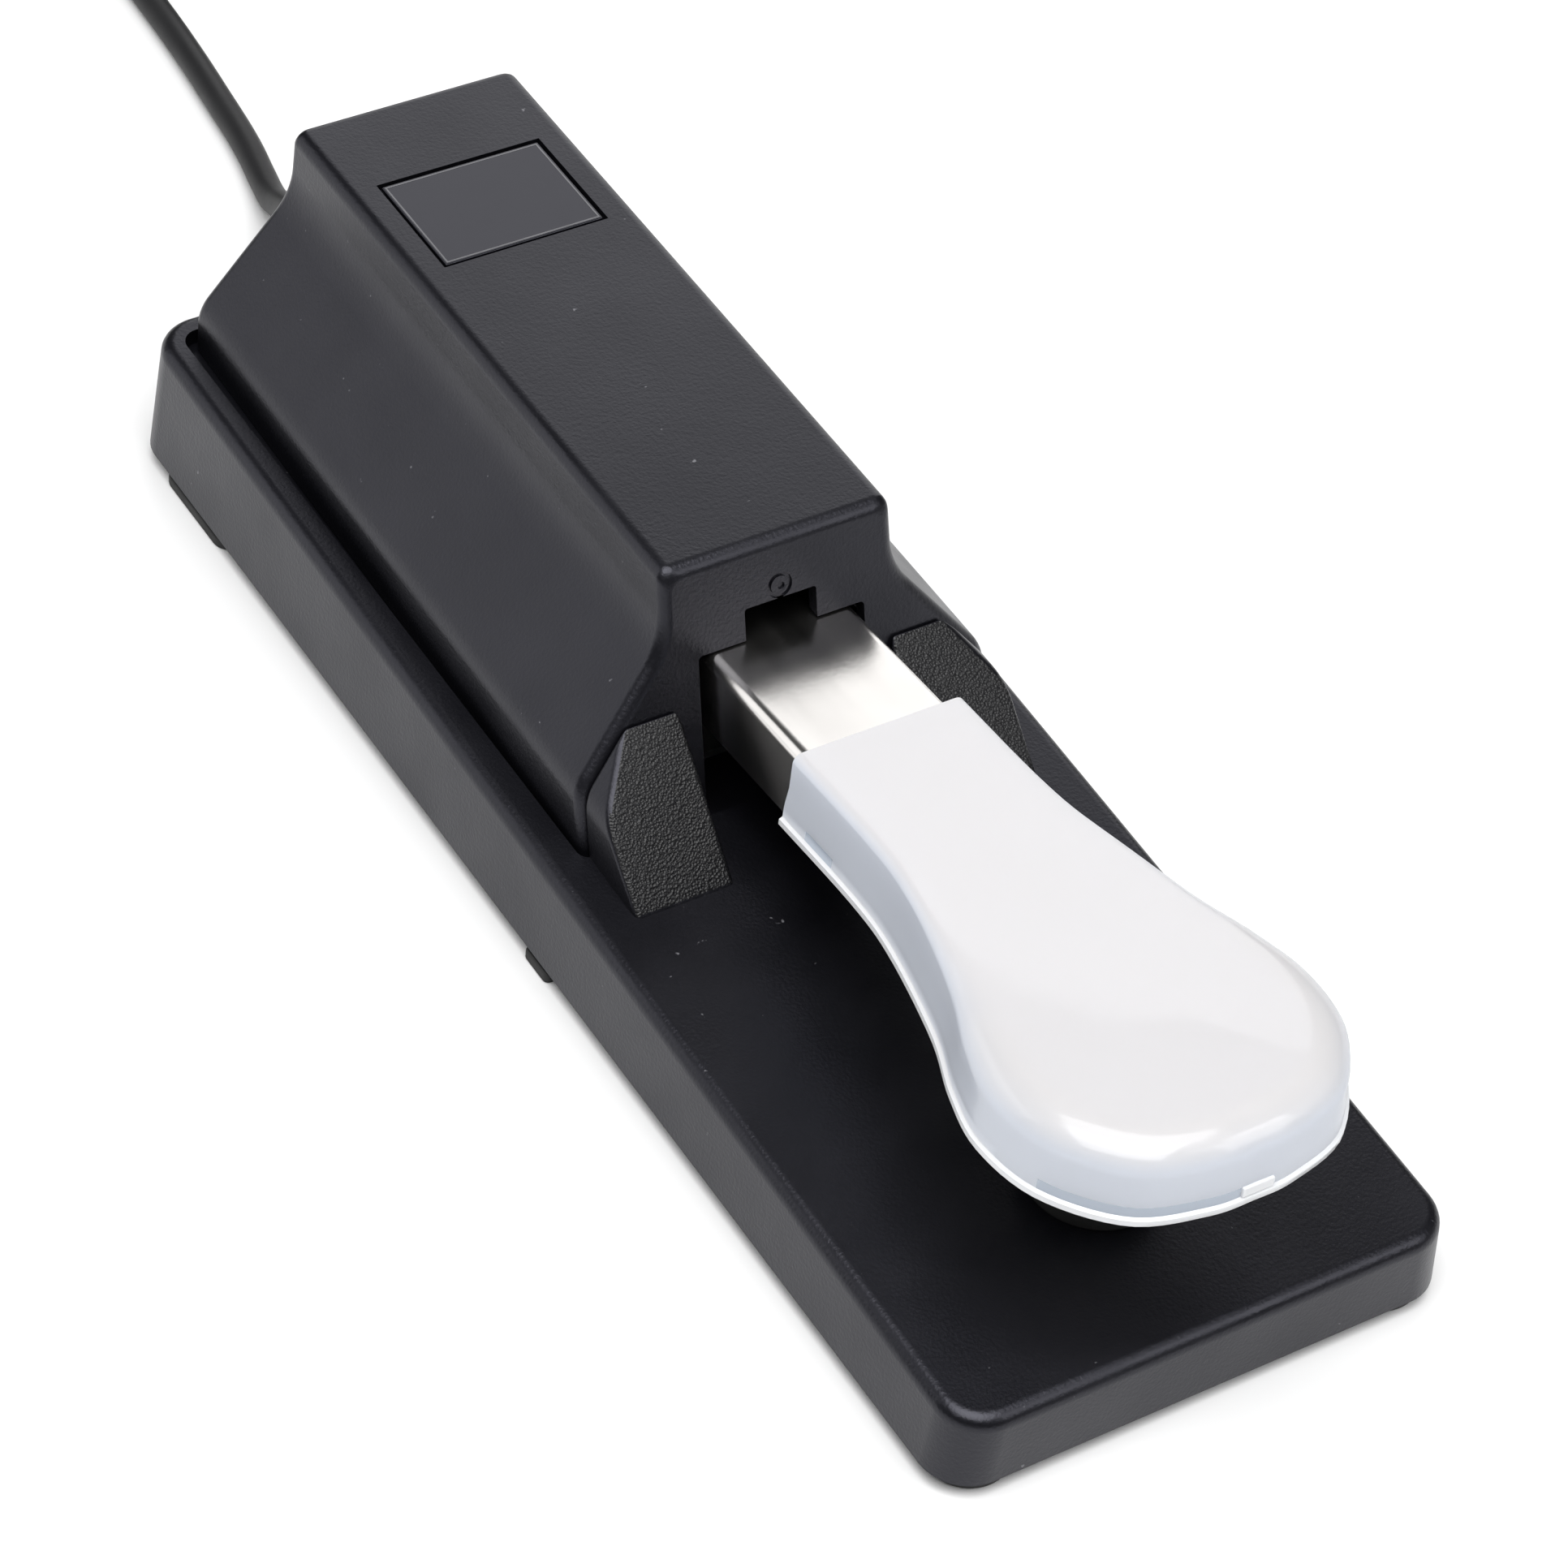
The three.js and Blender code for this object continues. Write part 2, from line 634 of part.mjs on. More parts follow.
function addPivot() {
  addPiece("pivot_pin", rodX(PIVOT.radius, [-19, 19], PIVOT.y, PIVOT.z, 24), "zinc_steel");
  const clipMouth = block([-FAR, FAR], [PIVOT.y - 1.6, PIVOT.y + 1.6], [0, PIVOT.z]);
  for (const [name, side] of SIDES) {
    const bush = pivotRing([BUSH.bore, BUSH.sleeve], spanOnSide(side, 11.1, 13.8));
    const head = pivotRing([BUSH.bore, BUSH.head], spanOnSide(side, 13.3, 14.7));
    addPiece("pivot_bush_" + name, bush.add(head), "nylon");
    const clip = pivotRing([BUSH.bore, 4.6], spanOnSide(side, CHASSIS.halfWidth + GAP, 17.8));
    addPiece("pin_clip_" + name, clip.subtract(clipMouth), "zinc_steel");
  }
}

function returnSpring() {
  const { y, radius, wire, turns, low, top } = SPRING;
  const route = [];
  const perTurn = 8;
  for (let i = 0; i <= turns * perTurn; i++) {
    const angle = (2 * Math.PI * i) / perTurn;
    const height = low + wire + 0.1 + ((top - low - 2 * wire - 0.2) * i) / (turns * perTurn);
    route.push([radius * Math.cos(angle), y + radius * Math.sin(angle), height]);
  }
  return tube(route, wire, turns * 10, 6);
}

function addMechanism() {
  addPiece("chassis", chassis(), "zinc_steel");
  addPivot();
  const seat = disc(8, [0, SPRING.y], [CHASSIS_FLOOR + GAP, SPRING.low - GAP]);
  addPiece("spring_seat", seat.add(disc(4.6, [0, SPRING.y], [CHASSIS_FLOOR + GAP, 11])), "nylon");
  addPiece("return_spring", returnSpring(), "zinc_steel");
  const { halfWidth, front, rear, low, top } = REST_PAD;
  addPiece("rest_pad", middleBlock(halfWidth, [front, rear], [low, top]), "rubber");
}

function addSwitch() {
  const { halfWidth, front, rear, low, top } = BOARD;
  let board = middleBlock(halfWidth, [front, rear], [low, top]);
  for (const [name, side] of SIDES) {
    const place = [side * BOARD_SCREWS.x, BOARD_SCREWS.y];
    board = board.subtract(disc(BOARD_SCREWS.hole, place, [0, FAR], 12));
    const screw = panScrew(2.6, BOARD_SCREWS.radius, [7, top + GAP, top + GAP + 1.8], place);
    addPiece("board_screw_" + name, screw, "zinc_steel");
  }
  addPiece("circuit_board", board, "circuit_board");
  const switchBlock = (half, length, z) => middleBlock(half, [SWITCH.y - length, SWITCH.y + length], z);
  const body = switchBlock(SWITCH.halfWidth, SWITCH.halfLength, [top + GAP, SWITCH.top]);
  const { halfWidth: half, halfLength: length, low: plungerLow, top: plungerTop } = PLUNGER;
  const well = switchBlock(half + RUNNING_GAP, length + RUNNING_GAP, [SWITCH.well, FAR]);
  addPiece("switch_body", body.subtract(well), "switch_plastic");
  addPiece("switch_plunger", switchBlock(half, length, [plungerLow, plungerTop]), "nylon");
}

// A pan-head screw that stands head up: heights are the tip, the head's underside and its top.
function panScrew(headRadius, radius, [tip, under, top], place) {
  return turned(
    [
      [0, tip],
      [radius, tip],
      [radius, under],
      [headRadius, under],
      [headRadius, under + (top - under) * 0.6],
      [headRadius * 0.7, top],
      [0, top],
    ],
    place,
    16,
  );
}

function addPolaritySwitch() {
  const { x, halfWidth, front, rear, top, knobY, travel } = POLARITY;
  const body = block([x - halfWidth, x + halfWidth], [front, rear], [PLATE_TOP + GAP, top]);
  const beside = KNOB.half + RUNNING_GAP;
  const ends = KNOB.half + GAP;
  const guideY = [knobY - ends, knobY + travel + ends];
  const guide = block([x - beside, x + beside], guideY, [0, KNOB.top + GAP]);
  addPiece("polarity_switch", body.subtract(guide), "zinc_steel");
  const knobX = [x - KNOB.half, x + KNOB.half];
  const knobSpan = [knobY - KNOB.half, knobY + KNOB.half];
  addPiece("polarity_knob", block(knobX, knobSpan, [KNOB.low, KNOB.top]), "rubber");
}

function addScrews() {
  const places = ["toe_left", "toe_right", "heel_left", "heel_right"];
  places.forEach((place, i) => {
    const [x, y] = HOUSING_SCREWS[i];
    const under = baseTopAt(y) - RECESS_DEPTH - LEDGE_THICKNESS - GAP - 0.1;
    const housingScrew = [
      [0, under - 2],
      [1.9, under - 2],
      [2.8, under - 0.8],
      [2.8, under],
      [SCREW_RADIUS, under],
      [SCREW_RADIUS, under + HOUSING_SCREW_REACH],
      [0, under + HOUSING_SCREW_REACH],
    ];
    addPiece("housing_screw_" + place, turned(housingScrew, [x, y], 16), "zinc_steel");
    const plateScrew = [
      [0, BASE_BOTTOM],
      [2.8, BASE_BOTTOM],
      [SCREW_RADIUS, PLATE_TOP],
      [SCREW_RADIUS, PLATE_SCREW_TOP],
      [0, PLATE_SCREW_TOP],
    ];
    addPiece("plate_screw_" + place, turned(plateScrew, PLATE_SCREWS[i], 16), "zinc_steel");
  });
}

// ---- cord ----

function strainRelief() {
  const bore = CORD_RADIUS + GAP;
  const neck = CORD_HOLE - GAP;
  const start = 116.6;
  const shoulder = HEEL_Y + 0.1;
  const profile = [
    [bore, start],
    [5.8, start],
    [5.8, start + 2],
    [neck, start + 2],
    [neck, shoulder],
    [5.6, shoulder],
  ];
  const rings = 4;
  for (let i = 0; i < rings; i++) {
    const y = 124 + i * 4;
    const radius = 5.4 - i * 0.4;
    profile.push([radius, y], [radius - 1, y + 0.4], [radius - 1.1, y + 1.8], [radius - 0.3, y + 2.2]);
  }
  profile.push([3.9, 142], [bore, 142], [bore, start]);
  return turnedY(profile, 0, CORD_Z);
}

function cordClamp() {
  const { halfWidth, y, halfLength, top, screwX } = CLAMP;
  let clamp = middleBlock(halfWidth, [y - halfLength, y + halfLength], [PLATE_TOP + GAP, top]);
  clamp = clamp.subtract(rodY(CORD_RADIUS + GAP, [0, FAR], 0, CORD_Z));
  for (const [, side] of SIDES) {
    clamp = clamp.subtract(disc(SCREW_HOLE, [side * screwX, y], [0, FAR], 12));
  }
  return clamp;
}

// The end that leaves the coil, turns back over it and meets the plug.
function cordEndRoute() {
  const lying = COIL.z + COIL.thickness + GAP + CORD_RADIUS;
  const route = [[COIL.x - COIL.inner, COIL.y, lying]];
  const steps = 6;
  for (let i = 0; i <= steps; i++) {
    const angle = Math.PI * (1 - i / steps);
    const height = lying + ((PLUG.z - lying) * i) / steps;
    const across = END_TURN * (Math.cos(angle) - 1);
    route.push([PLUG.x + across, COIL.y + 10 + END_TURN * Math.sin(angle), height]);
  }
  route.push([PLUG.x, PLUG.y - 6, PLUG.z]);
  return route;
}

function coil() {
  const section = [];
  const sides = 12;
  for (let i = 0; i <= sides; i++) {
    const angle = (-2 * Math.PI * i) / sides;
    const across = COIL.thickness * Math.cos(angle);
    section.push([COIL.radius + across, COIL.z + COIL.thickness * Math.sin(angle)]);
  }
  return turned(section.reverse(), [COIL.x, COIL.y], 36);
}

// Turned pieces of the plug, each [radius, distance from the cord's side] along -Y.
function addPlug() {
  const bore = CORD_RADIUS + GAP;
  const boot = [
    [bore, -2],
    [3.7, -2],
    [4.6, 8],
    [4.6, 12],
    [bore, 12],
    [bore, -2],
  ];
  const barrel = [
    [0, 12.3],
    [5.6, 12.3],
    [6, 13],
    [6, 36],
    [5.4, 38],
    [0, 38],
  ];
  const sleeve = [
    [0, 38.3],
    [4.4, 38.3],
    [4.4, 40],
    [PLUG.shaft, 40],
    [PLUG.shaft, 62],
    [0, 62],
  ];
  const insulator = [
    [0, 62.3],
    [3.1, 62.3],
    [3.1, 63.5],
    [0, 63.5],
  ];
  const tip = [
    [0, 63.8],
    [PLUG.shaft, 63.8],
    [PLUG.shaft, 65],
    [2.2, 67],
    [PLUG.shaft, 69.5],
    [2.4, 72],
    [0, 73.3],
  ];
  for (const [name, material, profile] of [
    ["plug_boot", "cord_vinyl", boot],
    ["plug_barrel", "nickel", barrel],
    ["plug_sleeve", "nickel", sleeve],
    ["plug_insulator", "rubber", insulator],
    ["plug_tip", "nickel", tip],
  ]) {
    const along = profile.map(([radius, distance]) => [radius, PLUG.y - distance]).reverse();
    addPiece(name, turnedY(along, PLUG.x, PLUG.z, 20), material);
  }
}

// A band round the coil's section, on its right.
function cordTie() {
  const x = COIL.x + COIL.radius;
  const hole = rodY(COIL.thickness + GAP + 0.1, [0, FAR], x, COIL.z, 24);
  return rodY(COIL.thickness + 1.2, [COIL.y - 3, COIL.y + 3], x, COIL.z, 24).subtract(hole);
}

function addCord() {
  addPiece("strain_relief", strainRelief(), "rubber");
  addPiece("cord_clamp", cordClamp(), "nylon");
  for (const [name, side] of SIDES) {
    const under = CLAMP.top + GAP;
    const place = [side * CLAMP.screwX, CLAMP.y];
    const screw = panScrew(2.8, SCREW_RADIUS, [2.4, under, under + 1.8], place);
    addPiece("clamp_screw_" + name, screw, "zinc_steel");
    const lead = [
      [side * 1.2, 100.4, CORD_Z],
      [side * 1.5, 90, CORD_Z],
      [side * 4, 80, CORD_Z - 0.5],
      [side * 8, 71, CORD_Z - 1],
      [side * 9.5, 64, BOARD.top + GAP + LEAD_RADIUS + 0.1],
    ];
    addPiece("lead_" + name, tube(lead, LEAD_RADIUS, 16, 6), "lead_vinyl");
  }
  addPiece("cord", tube(CORD_ROUTE, CORD_RADIUS, 42), "cord_vinyl");
  addPiece("cord_coil", coil(), "cord_vinyl");
  addPiece("cord_end", tube(cordEndRoute(), CORD_RADIUS, 22), "cord_vinyl");
  addPiece("cord_tie", cordTie(), "rubber");
  addPlug();
}

addPiece("base_shell", baseShell(), "black_abs");
addPiece("bottom_plate", bottomPlate(), "zinc_steel");
addFeet();
addPiece("housing_cover", housingCover(), "black_abs");
addPiece("badge_plate", badgePlate(), "gloss_plastic");
addPiece("toe_bumper", disc(BUMPER.radius, [0, BUMPER.y], [BUMPER.low, BUMPER.top], 32), "rubber");
addPiece("lever", lever(), "nickel");
addPiece("pedal_cap", pedalCap(), "cap_plastic");
addMechanism();
addSwitch();
addPolaritySwitch();
addScrews();
addCord();

export default pedal;
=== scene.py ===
"""Looks of the sustain pedal: toe towards -Y, heel and cord towards +Y, floor at z = 0, metres."""

import json
import math

import bmesh
import bpy
from mathutils import Matrix, Vector


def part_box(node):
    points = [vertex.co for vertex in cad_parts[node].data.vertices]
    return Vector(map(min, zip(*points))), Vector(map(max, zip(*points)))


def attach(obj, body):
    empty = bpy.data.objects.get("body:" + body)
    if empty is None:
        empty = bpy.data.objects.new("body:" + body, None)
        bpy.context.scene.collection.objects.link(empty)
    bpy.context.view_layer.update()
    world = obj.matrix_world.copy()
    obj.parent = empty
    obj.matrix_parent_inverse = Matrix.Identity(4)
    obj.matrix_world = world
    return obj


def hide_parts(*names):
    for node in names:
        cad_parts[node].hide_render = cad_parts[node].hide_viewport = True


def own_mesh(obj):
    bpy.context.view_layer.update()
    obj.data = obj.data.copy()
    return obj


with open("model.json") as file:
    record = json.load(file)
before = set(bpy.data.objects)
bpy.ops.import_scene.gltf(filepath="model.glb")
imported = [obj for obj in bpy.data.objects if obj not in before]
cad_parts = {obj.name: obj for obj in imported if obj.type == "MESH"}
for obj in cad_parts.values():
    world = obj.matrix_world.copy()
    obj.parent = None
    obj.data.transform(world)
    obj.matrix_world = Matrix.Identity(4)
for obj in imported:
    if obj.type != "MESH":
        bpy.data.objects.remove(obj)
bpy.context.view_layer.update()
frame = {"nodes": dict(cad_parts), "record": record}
scene = bpy.context.scene
MM = 0.001
# Farther than the part reaches to the sides and upwards: tools that cut right through it end here.
FAR = 0.1
# Steps in a quarter round, of the base's corners seen from above and of edges.
CORNER_STEPS = 12
EDGE_STEPS = 6

base_low, base_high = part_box("base_shell")
cover_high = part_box("housing_cover")[1]
cap_low, cap_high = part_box("pedal_cap")
plate_low, plate_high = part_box("bottom_plate")
badge_low, badge_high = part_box("badge_plate")
bumper_low, bumper_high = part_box("toe_bumper")
spring_low, spring_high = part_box("return_spring")

# Base
BASE_SLOPE = 0.0375
BASE_TOP = 20 * MM
BASE_TOP_NARROWER = 0.9 * MM
BASE_TOP_EDGE = 2.3 * MM
BASE_CORNER = 7.5 * MM
BASE_WALL = 2.5 * MM
FOOT_CHAMFER = 0.4 * MM
TOE_SETBACK = 0.2 * MM
HEEL_TOP_Y = 121.3 * MM
# Room between pieces that are set into each other.
FIT_GAP = 0.3 * MM
RECESS_DEPTH = 2.8 * MM
RECESS_FRONT_Y = -8.6 * MM
RECESS_FRONT_HALF = 36.2 * MM
RECESS_REAR_HALF = 38.3 * MM
LEDGE_THICKNESS = 2.2 * MM
LEDGE_MARGIN = 2 * MM
BAY_HALF_WIDTH = 33 * MM
BAY_Y = (14 * MM, 101 * MM)
BAY_END_HALF = 24 * MM
BAY_END_Y = (4 * MM, 111 * MM)
CORD_HOLE_RADIUS = 4.5 * MM

# Housing
SKIRT_TOP = 29.6 * MM
HUMP_HALF_WIDTH = 20 * MM
HUMP_FOOT = 48.3 * MM
HUMP_LEAN = 0.3 * MM
HOUSING_WALL = 2.2 * MM
HOUSING_EDGE = 1.8 * MM
SKIRT_CORNER = 7 * MM
HUMP_FILLET = 13 * MM
TOP_CORNER = 2.2 * MM
FRONT_AT_FLOOR = -12.6 * MM
FRONT_LEAN = 0.268
SLOT_HALF_WIDTH = 14.3 * MM
SLOT_TOP = 44.8 * MM
NOTCH_HALF_WIDTH = 6.15 * MM
NOTCH_TOP = 49.9 * MM
GATE_MARK_Z = 51.9 * MM
BADGE_GAP = 0.6 * MM
BADGE_LINE_INSET = 0.35 * MM
BADGE_LINE_WIDTH = 0.28 * MM

# Fairings
FAIRING_INSET = 0.7 * MM
FAIRING_INNER = 18.2 * MM
FAIRING_TIP_Y = -22.3 * MM
FAIRING_TIP_Z = 19.2 * MM
FAIRING_RISE = 0.9635
FAIRING_LENGTH = 25 * MM
FAIRING_ROOT = 3 * MM
FAIRING_OUTER = 60 * MM

# Lever and cap
LEVER_SLOPE = -0.085
LEVER_TOP = 44.4 * MM
LEVER_DEPTH = 13 * MM
LEVER_SHEET = 1.6 * MM
LEVER_EDGE = 1.9 * MM
LEVER_INSET = 2.2 * MM
LEVER_TAIL_Y = 95 * MM
LEVER_WEB = 10 * MM
NECK_START_Y = -29 * MM
PIN_BORE = 4.3 * MM
CAP_TOP = 45.9 * MM
CAP_DEPTH = 13.5 * MM
CAP_WALL = 1.2 * MM
CAP_NECK_EDGE = 1.6 * MM
CAP_TOE_EDGE = 5.2 * MM
CAP_CROWN = 1.2 * MM
PAD_CENTRE_Y = -96 * MM
TOE_START_Y = -60 * MM
TOE_BLEND = 38 * MM
RIM_HEIGHT = 1.6 * MM
# Painted shade strips on the left of the cap: how high they reach over its lower edge, and where they lie
# along y at the toe and the neck.
STRIP_SHADE_HEIGHT = 3.1 * MM
TOE_SHADE_Y = -107 * MM
NECK_SHADE_Y = (-41 * MM, -33 * MM)
# Half-width and y of the cap's rim, from the rear edge to the toe, in millimetres.
CAP_STATIONS = [
    (15, -27),
    (15.1, -47),
    (16.4, -59),
    (20.5, -76),
    (24.7, -87),
    (26.9, -97),
    (25, -108.4),
    (17.3, -118.4),
    (7, -121.9),
    (0, -122.3),
]

# Cord
CORD_DIAMETER = 5 * MM
CORD_Z = 13 * MM
COIL_TURNS = 9
TURN_POINTS = 28
COIL_CENTRE = (44 * MM, 262 * MM)
COIL_RADIUS = 27.5 * MM
COIL_STEP = 5.15 * MM
END_TURN = 20 * MM
# Way of the cord from inside the strain relief to the coil, as listed points.
CORD_ROUTE = [
    (0, 0.130, 0.013),
    (0, 0.136, 0.013),
    (0, 0.143, 0.0128),
    (0.0008, 0.150, 0.0116),
    (0.0022, 0.157, 0.0078),
    (0.0038, 0.164, 0.0041),
    (0.0055, 0.171, 0.0028),
    (0.0073, 0.180, 0.0025),
    (0.0088, 0.194, 0.0025),
    (0.0101, 0.2086, 0.0025),
    (0.0109, 0.2236, 0.0025),
    (0.0113, 0.238, 0.0025),
]

# Profiles of the plug's turned pieces: radius and distance from the boot's rear, in millimetres.
BOOT_PROFILE = [
    (2.7, 0), (3.2, 0), (3.5, 0.4), (3.6, 3), (3.2, 3.2), (3.2, 4.2), (3.9, 4.4),
    (4.1, 6.8), (3.6, 7), (3.6, 8), (4.4, 8.2), (4.6, 10), (4.6, 14), (2.7, 14),
]
BARREL_PROFILE = [
    (0, 14.3), (5.2, 14.3), (5.7, 14.8), (6, 15.6), (6, 37.2),
    (5.7, 38.2), (5.2, 38.8), (5.2, 39.9), (0, 39.9),
]
SLEEVE_PROFILE = [
    (0, 40.3), (4.1, 40.3), (4.4, 40.6), (4.4, 41.8), (4.1, 42),
    (3.17, 42.2), (3.17, 63.9), (3.05, 64), (0, 64),
]
INSULATOR_PROFILE = [(0, 64.1), (3.05, 64.1), (3.05, 65.6), (0, 65.6)]
TIP_PROFILE = [
    (0, 65.7), (3.05, 65.7), (3.17, 65.9), (3.17, 66.8), (2.5, 68), (2.2, 69), (2.5, 70),
    (3.1, 71), (3.17, 71.7), (2.9, 72.6), (1.8, 74.3), (0.8, 75.1), (0, 75.2),
]

# Strain relief: its shoulder and mouth as (radius, y), with the rings between them, in millimetres.
RELIEF_SHOULDER = [
    (2.8, 116.7), (5.7, 116.7), (5.7, 118.6), (4.2, 118.6),
    (4.2, 122.6), (5.3, 122.6), (5.6, 122.9),
]
RELIEF_MOUTH = [(3.8, 141.4), (3.5, 142), (2.6, 142), (2.6, 116.7)]
RELIEF_RINGS = 4
RELIEF_FIRST_RING_Y = 124
RELIEF_RING_STEP = 4
RELIEF_FIRST_RADIUS = 5.4
RELIEF_TAPER = 0.4

# Spring
SPRING_RADIUS = 6.2 * MM
SPRING_WIRE = 0.9 * MM
SPRING_TURNS = 8

# Underside
KNOB_ROOM = 0.9 * MM
KNOB_TRAVEL = 3 * MM
SCREW_PLACES = ("toe_left", "toe_right", "heel_left", "heel_right")
SIDES = ("left", "right")

# Camera, solved from the photograph's perspective
CAMERA_AZIMUTH = -36.88
CAMERA_ELEVATION = 44.07
CAMERA_ROLL = 7.82
CAMERA_DISTANCE = 0.8127
CAMERA_TARGET = (-0.0058, -0.014, 0.0272)
CAMERA_LENS = 126.9
CAMERA_SENSOR = 36

# Soft boxes: name, place, point they face, side and brightness of their own face
LIGHTS = (
    ("overhead", (-0.25, -0.3, 1.2), (0, 0, 0), 1.2, 5.2),
    ("behind_right", (0.314, 0.418, 0.236), (0.042, 0.056, -0.158), 0.5, 1.5),
    ("behind_left", (-0.44, 0.36, 0.24), (0, 0.06, 0.03), 0.45, 1.3),
    ("front_right", (0.38, -0.58, 0.52), (0, 0, 0), 0.4, 3.0),
)
WORLD_BRIGHTNESS = 0.05


# ---- camera ----


def add_camera():
    azimuth = math.radians(CAMERA_AZIMUTH)
    elevation = math.radians(CAMERA_ELEVATION)
    roll = math.radians(CAMERA_ROLL)
    back = Vector(
        (
            math.sin(azimuth) * math.cos(elevation),
            -math.cos(azimuth) * math.cos(elevation),
            math.sin(elevation),
        )
    )
    level_right = Vector((0, 0, 1)).cross(back).normalized()
    level_up = back.cross(level_right)
    right = math.cos(roll) * level_right + math.sin(roll) * level_up
    up = back.cross(right)
    data = bpy.data.cameras.new("camera")
    data.sensor_width = CAMERA_SENSOR
    data.lens = CAMERA_LENS
    camera = bpy.data.objects.new("camera", data)
    turn = Matrix((right, up, back)).transposed()
    place = Vector(CAMERA_TARGET) + back * CAMERA_DISTANCE
    camera.matrix_world = Matrix.Translation(place) @ turn.to_4x4()
    scene.collection.objects.link(camera)
    scene.camera = camera


# ---- materials ----

BLACK = (0.002, 0.002, 0.003)
DUST = (0.13, 0.13, 0.14)


class Look:
    """A node material that is built up from a Principled shader."""

    def __init__(self, name, colour, roughness, metallic=0.0):
        self.material = bpy.data.materials.new(name)
        self.material.use_nodes = True
        self.nodes = self.material.node_tree.nodes
        self.links = self.material.node_tree.links
        self.shader = self.nodes["Principled BSDF"]
        self.set("Base Color", (*colour, 1))
        self.set("Roughness", roughness)
        self.set("Metallic", metallic)
        self.place = self.nodes.new("ShaderNodeTexCoord").outputs["Object"]
        self.height = None

    def set(self, socket, value):
        self.shader.inputs[socket].default_value = value

    def stretched(self, scale):
        mapping = self.nodes.new("ShaderNodeMapping")
        mapping.inputs["Scale"].default_value = scale
        self.links.new(self.place, mapping.inputs["Vector"])
        return mapping.outputs["Vector"]

    def noise(self, scale, detail=3.0, place=None):
        noise = self.nodes.new("ShaderNodeTexNoise")
        noise.inputs["Scale"].default_value = scale
        noise.inputs["Detail"].default_value = detail
        self.links.new(place or self.place, noise.inputs["Vector"])
        return noise.outputs["Fac"]

    def cells(self, scale):
        cells = self.nodes.new("ShaderNodeTexVoronoi")
        cells.inputs["Scale"].default_value = scale
        self.links.new(self.place, cells.inputs["Vector"])
        return cells.outputs["Distance"]

    def ramp(self, value, stops):
        ramp = self.nodes.new("ShaderNodeValToRGB")
        for element, (position, shade) in zip(ramp.color_ramp.elements, stops):
            element.position = position
            element.color = (*shade, 1) if isinstance(shade, tuple) else (shade, shade, shade, 1)
        self.links.new(value, ramp.inputs["Fac"])
        return ramp.outputs["Color"]

    def drive(self, socket, value, stops):
        self.links.new(self.ramp(value, stops), self.shader.inputs[socket])

    def bump(self, value, depth, strength=1.0):
        bump = self.nodes.new("ShaderNodeBump")
        bump.inputs["Distance"].default_value = depth
        bump.inputs["Strength"].default_value = strength
        self.links.new(value, bump.inputs["Height"])
        if self.height:
            self.links.new(self.height, bump.inputs["Normal"])
        self.height = bump.outputs["Normal"]
        self.links.new(self.height, self.shader.inputs["Normal"])


def black_plastic(name, grain_scale, grain_depth, roughness):
    look = Look(name, BLACK, roughness)
    look.set("Specular Tint", (0.86, 0.86, 1, 1))
    look.bump(look.noise(grain_scale, 2), grain_depth)
    look.drive("Roughness", look.noise(60, 4), [(0.3, roughness - 0.04), (0.7, roughness + 0.05)])
    look.drive("Base Color", look.noise(560, 2), [(0.76, BLACK), (0.8, DUST)])
    return look.material


def grained_plastic():
    look = Look("grained_black", BLACK, 0.42)
    look.bump(look.cells(2500), 0.13 * MM)
    look.bump(look.noise(1500, 2), 0.03 * MM)
    return look.material


def nickel():
    look = Look("nickel_plate", (0.72, 0.7, 0.68), 0.24, 1.0)
    look.bump(look.noise(900, 2), 0.008 * MM)
    scratches = look.noise(160, 4, look.stretched((1, 0.04, 1)))
    look.drive("Roughness", scratches, [(0.35, 0.2), (0.75, 0.27)])
    look.drive("Base Color", look.noise(40, 3), [(0.3, (0.68, 0.66, 0.64)), (0.7, (0.76, 0.74, 0.72))])
    return look.material


def milky_plastic():
    """Painted shade: warm white where it faces up and a bluish tint on its walls, which stands in for the
    shaded lever seen through the walls; some light goes through it.
    """
    look = Look("milky_plastic", (0.9, 0.9, 0.9), 0.3)
    look.set("Transmission Weight", 0.28)
    look.set("IOR", 1.3)
    shade_by_facing = look.nodes.new("ShaderNodeSeparateXYZ")
    geometry = look.nodes.new("ShaderNodeNewGeometry")
    look.links.new(geometry.outputs["Normal"], shade_by_facing.inputs["Vector"])
    # Painted shade: the base colour follows which way the surface faces, bluish on the walls and warm white
    # on top.
    look.drive("Base Color", shade_by_facing.outputs["Z"], [(0.35, (0.86, 0.9, 0.97)), (0.97, (0.88, 0.86, 0.855))])
    through = look.nodes.new("ShaderNodeBsdfTranslucent")
    through.inputs["Color"].default_value = (0.9, 0.91, 0.95, 1)
    mix = look.nodes.new("ShaderNodeMixShader")
    mix.inputs["Fac"].default_value = 0.3
    look.links.new(look.shader.outputs["BSDF"], mix.inputs[1])
    look.links.new(through.outputs["BSDF"], mix.inputs[2])
    look.links.new(mix.outputs["Shader"], look.nodes["Material Output"].inputs["Surface"])
    look.set("Coat Weight", 0.9)
    look.set("Coat Roughness", 0.1)
    look.bump(look.noise(45, 2), 0.08 * MM)
    look.drive("Roughness", look.noise(120, 4), [(0.3, 0.3), (0.7, 0.42)])
    return look.material


def clear_rim(name, colour):
    look = Look(name, colour, 0.15)
    look.set("Transmission Weight", 0.25)
    look.bump(look.noise(60, 2), 0.06 * MM)
    look.drive("Roughness", look.noise(150, 3), [(0.3, 0.12), (0.7, 0.22)])
    return look.material


def zinc_steel():
    look = Look("zinc_steel", (0.52, 0.53, 0.54), 0.4, 1.0)
    look.bump(look.noise(500, 4), 0.02 * MM)
    look.drive("Roughness", look.noise(90, 5), [(0.3, 0.32), (0.7, 0.5)])
    look.drive("Base Color", look.noise(25, 4), [(0.35, (0.46, 0.47, 0.48)), (0.7, (0.6, 0.6, 0.6))])
    return look.material


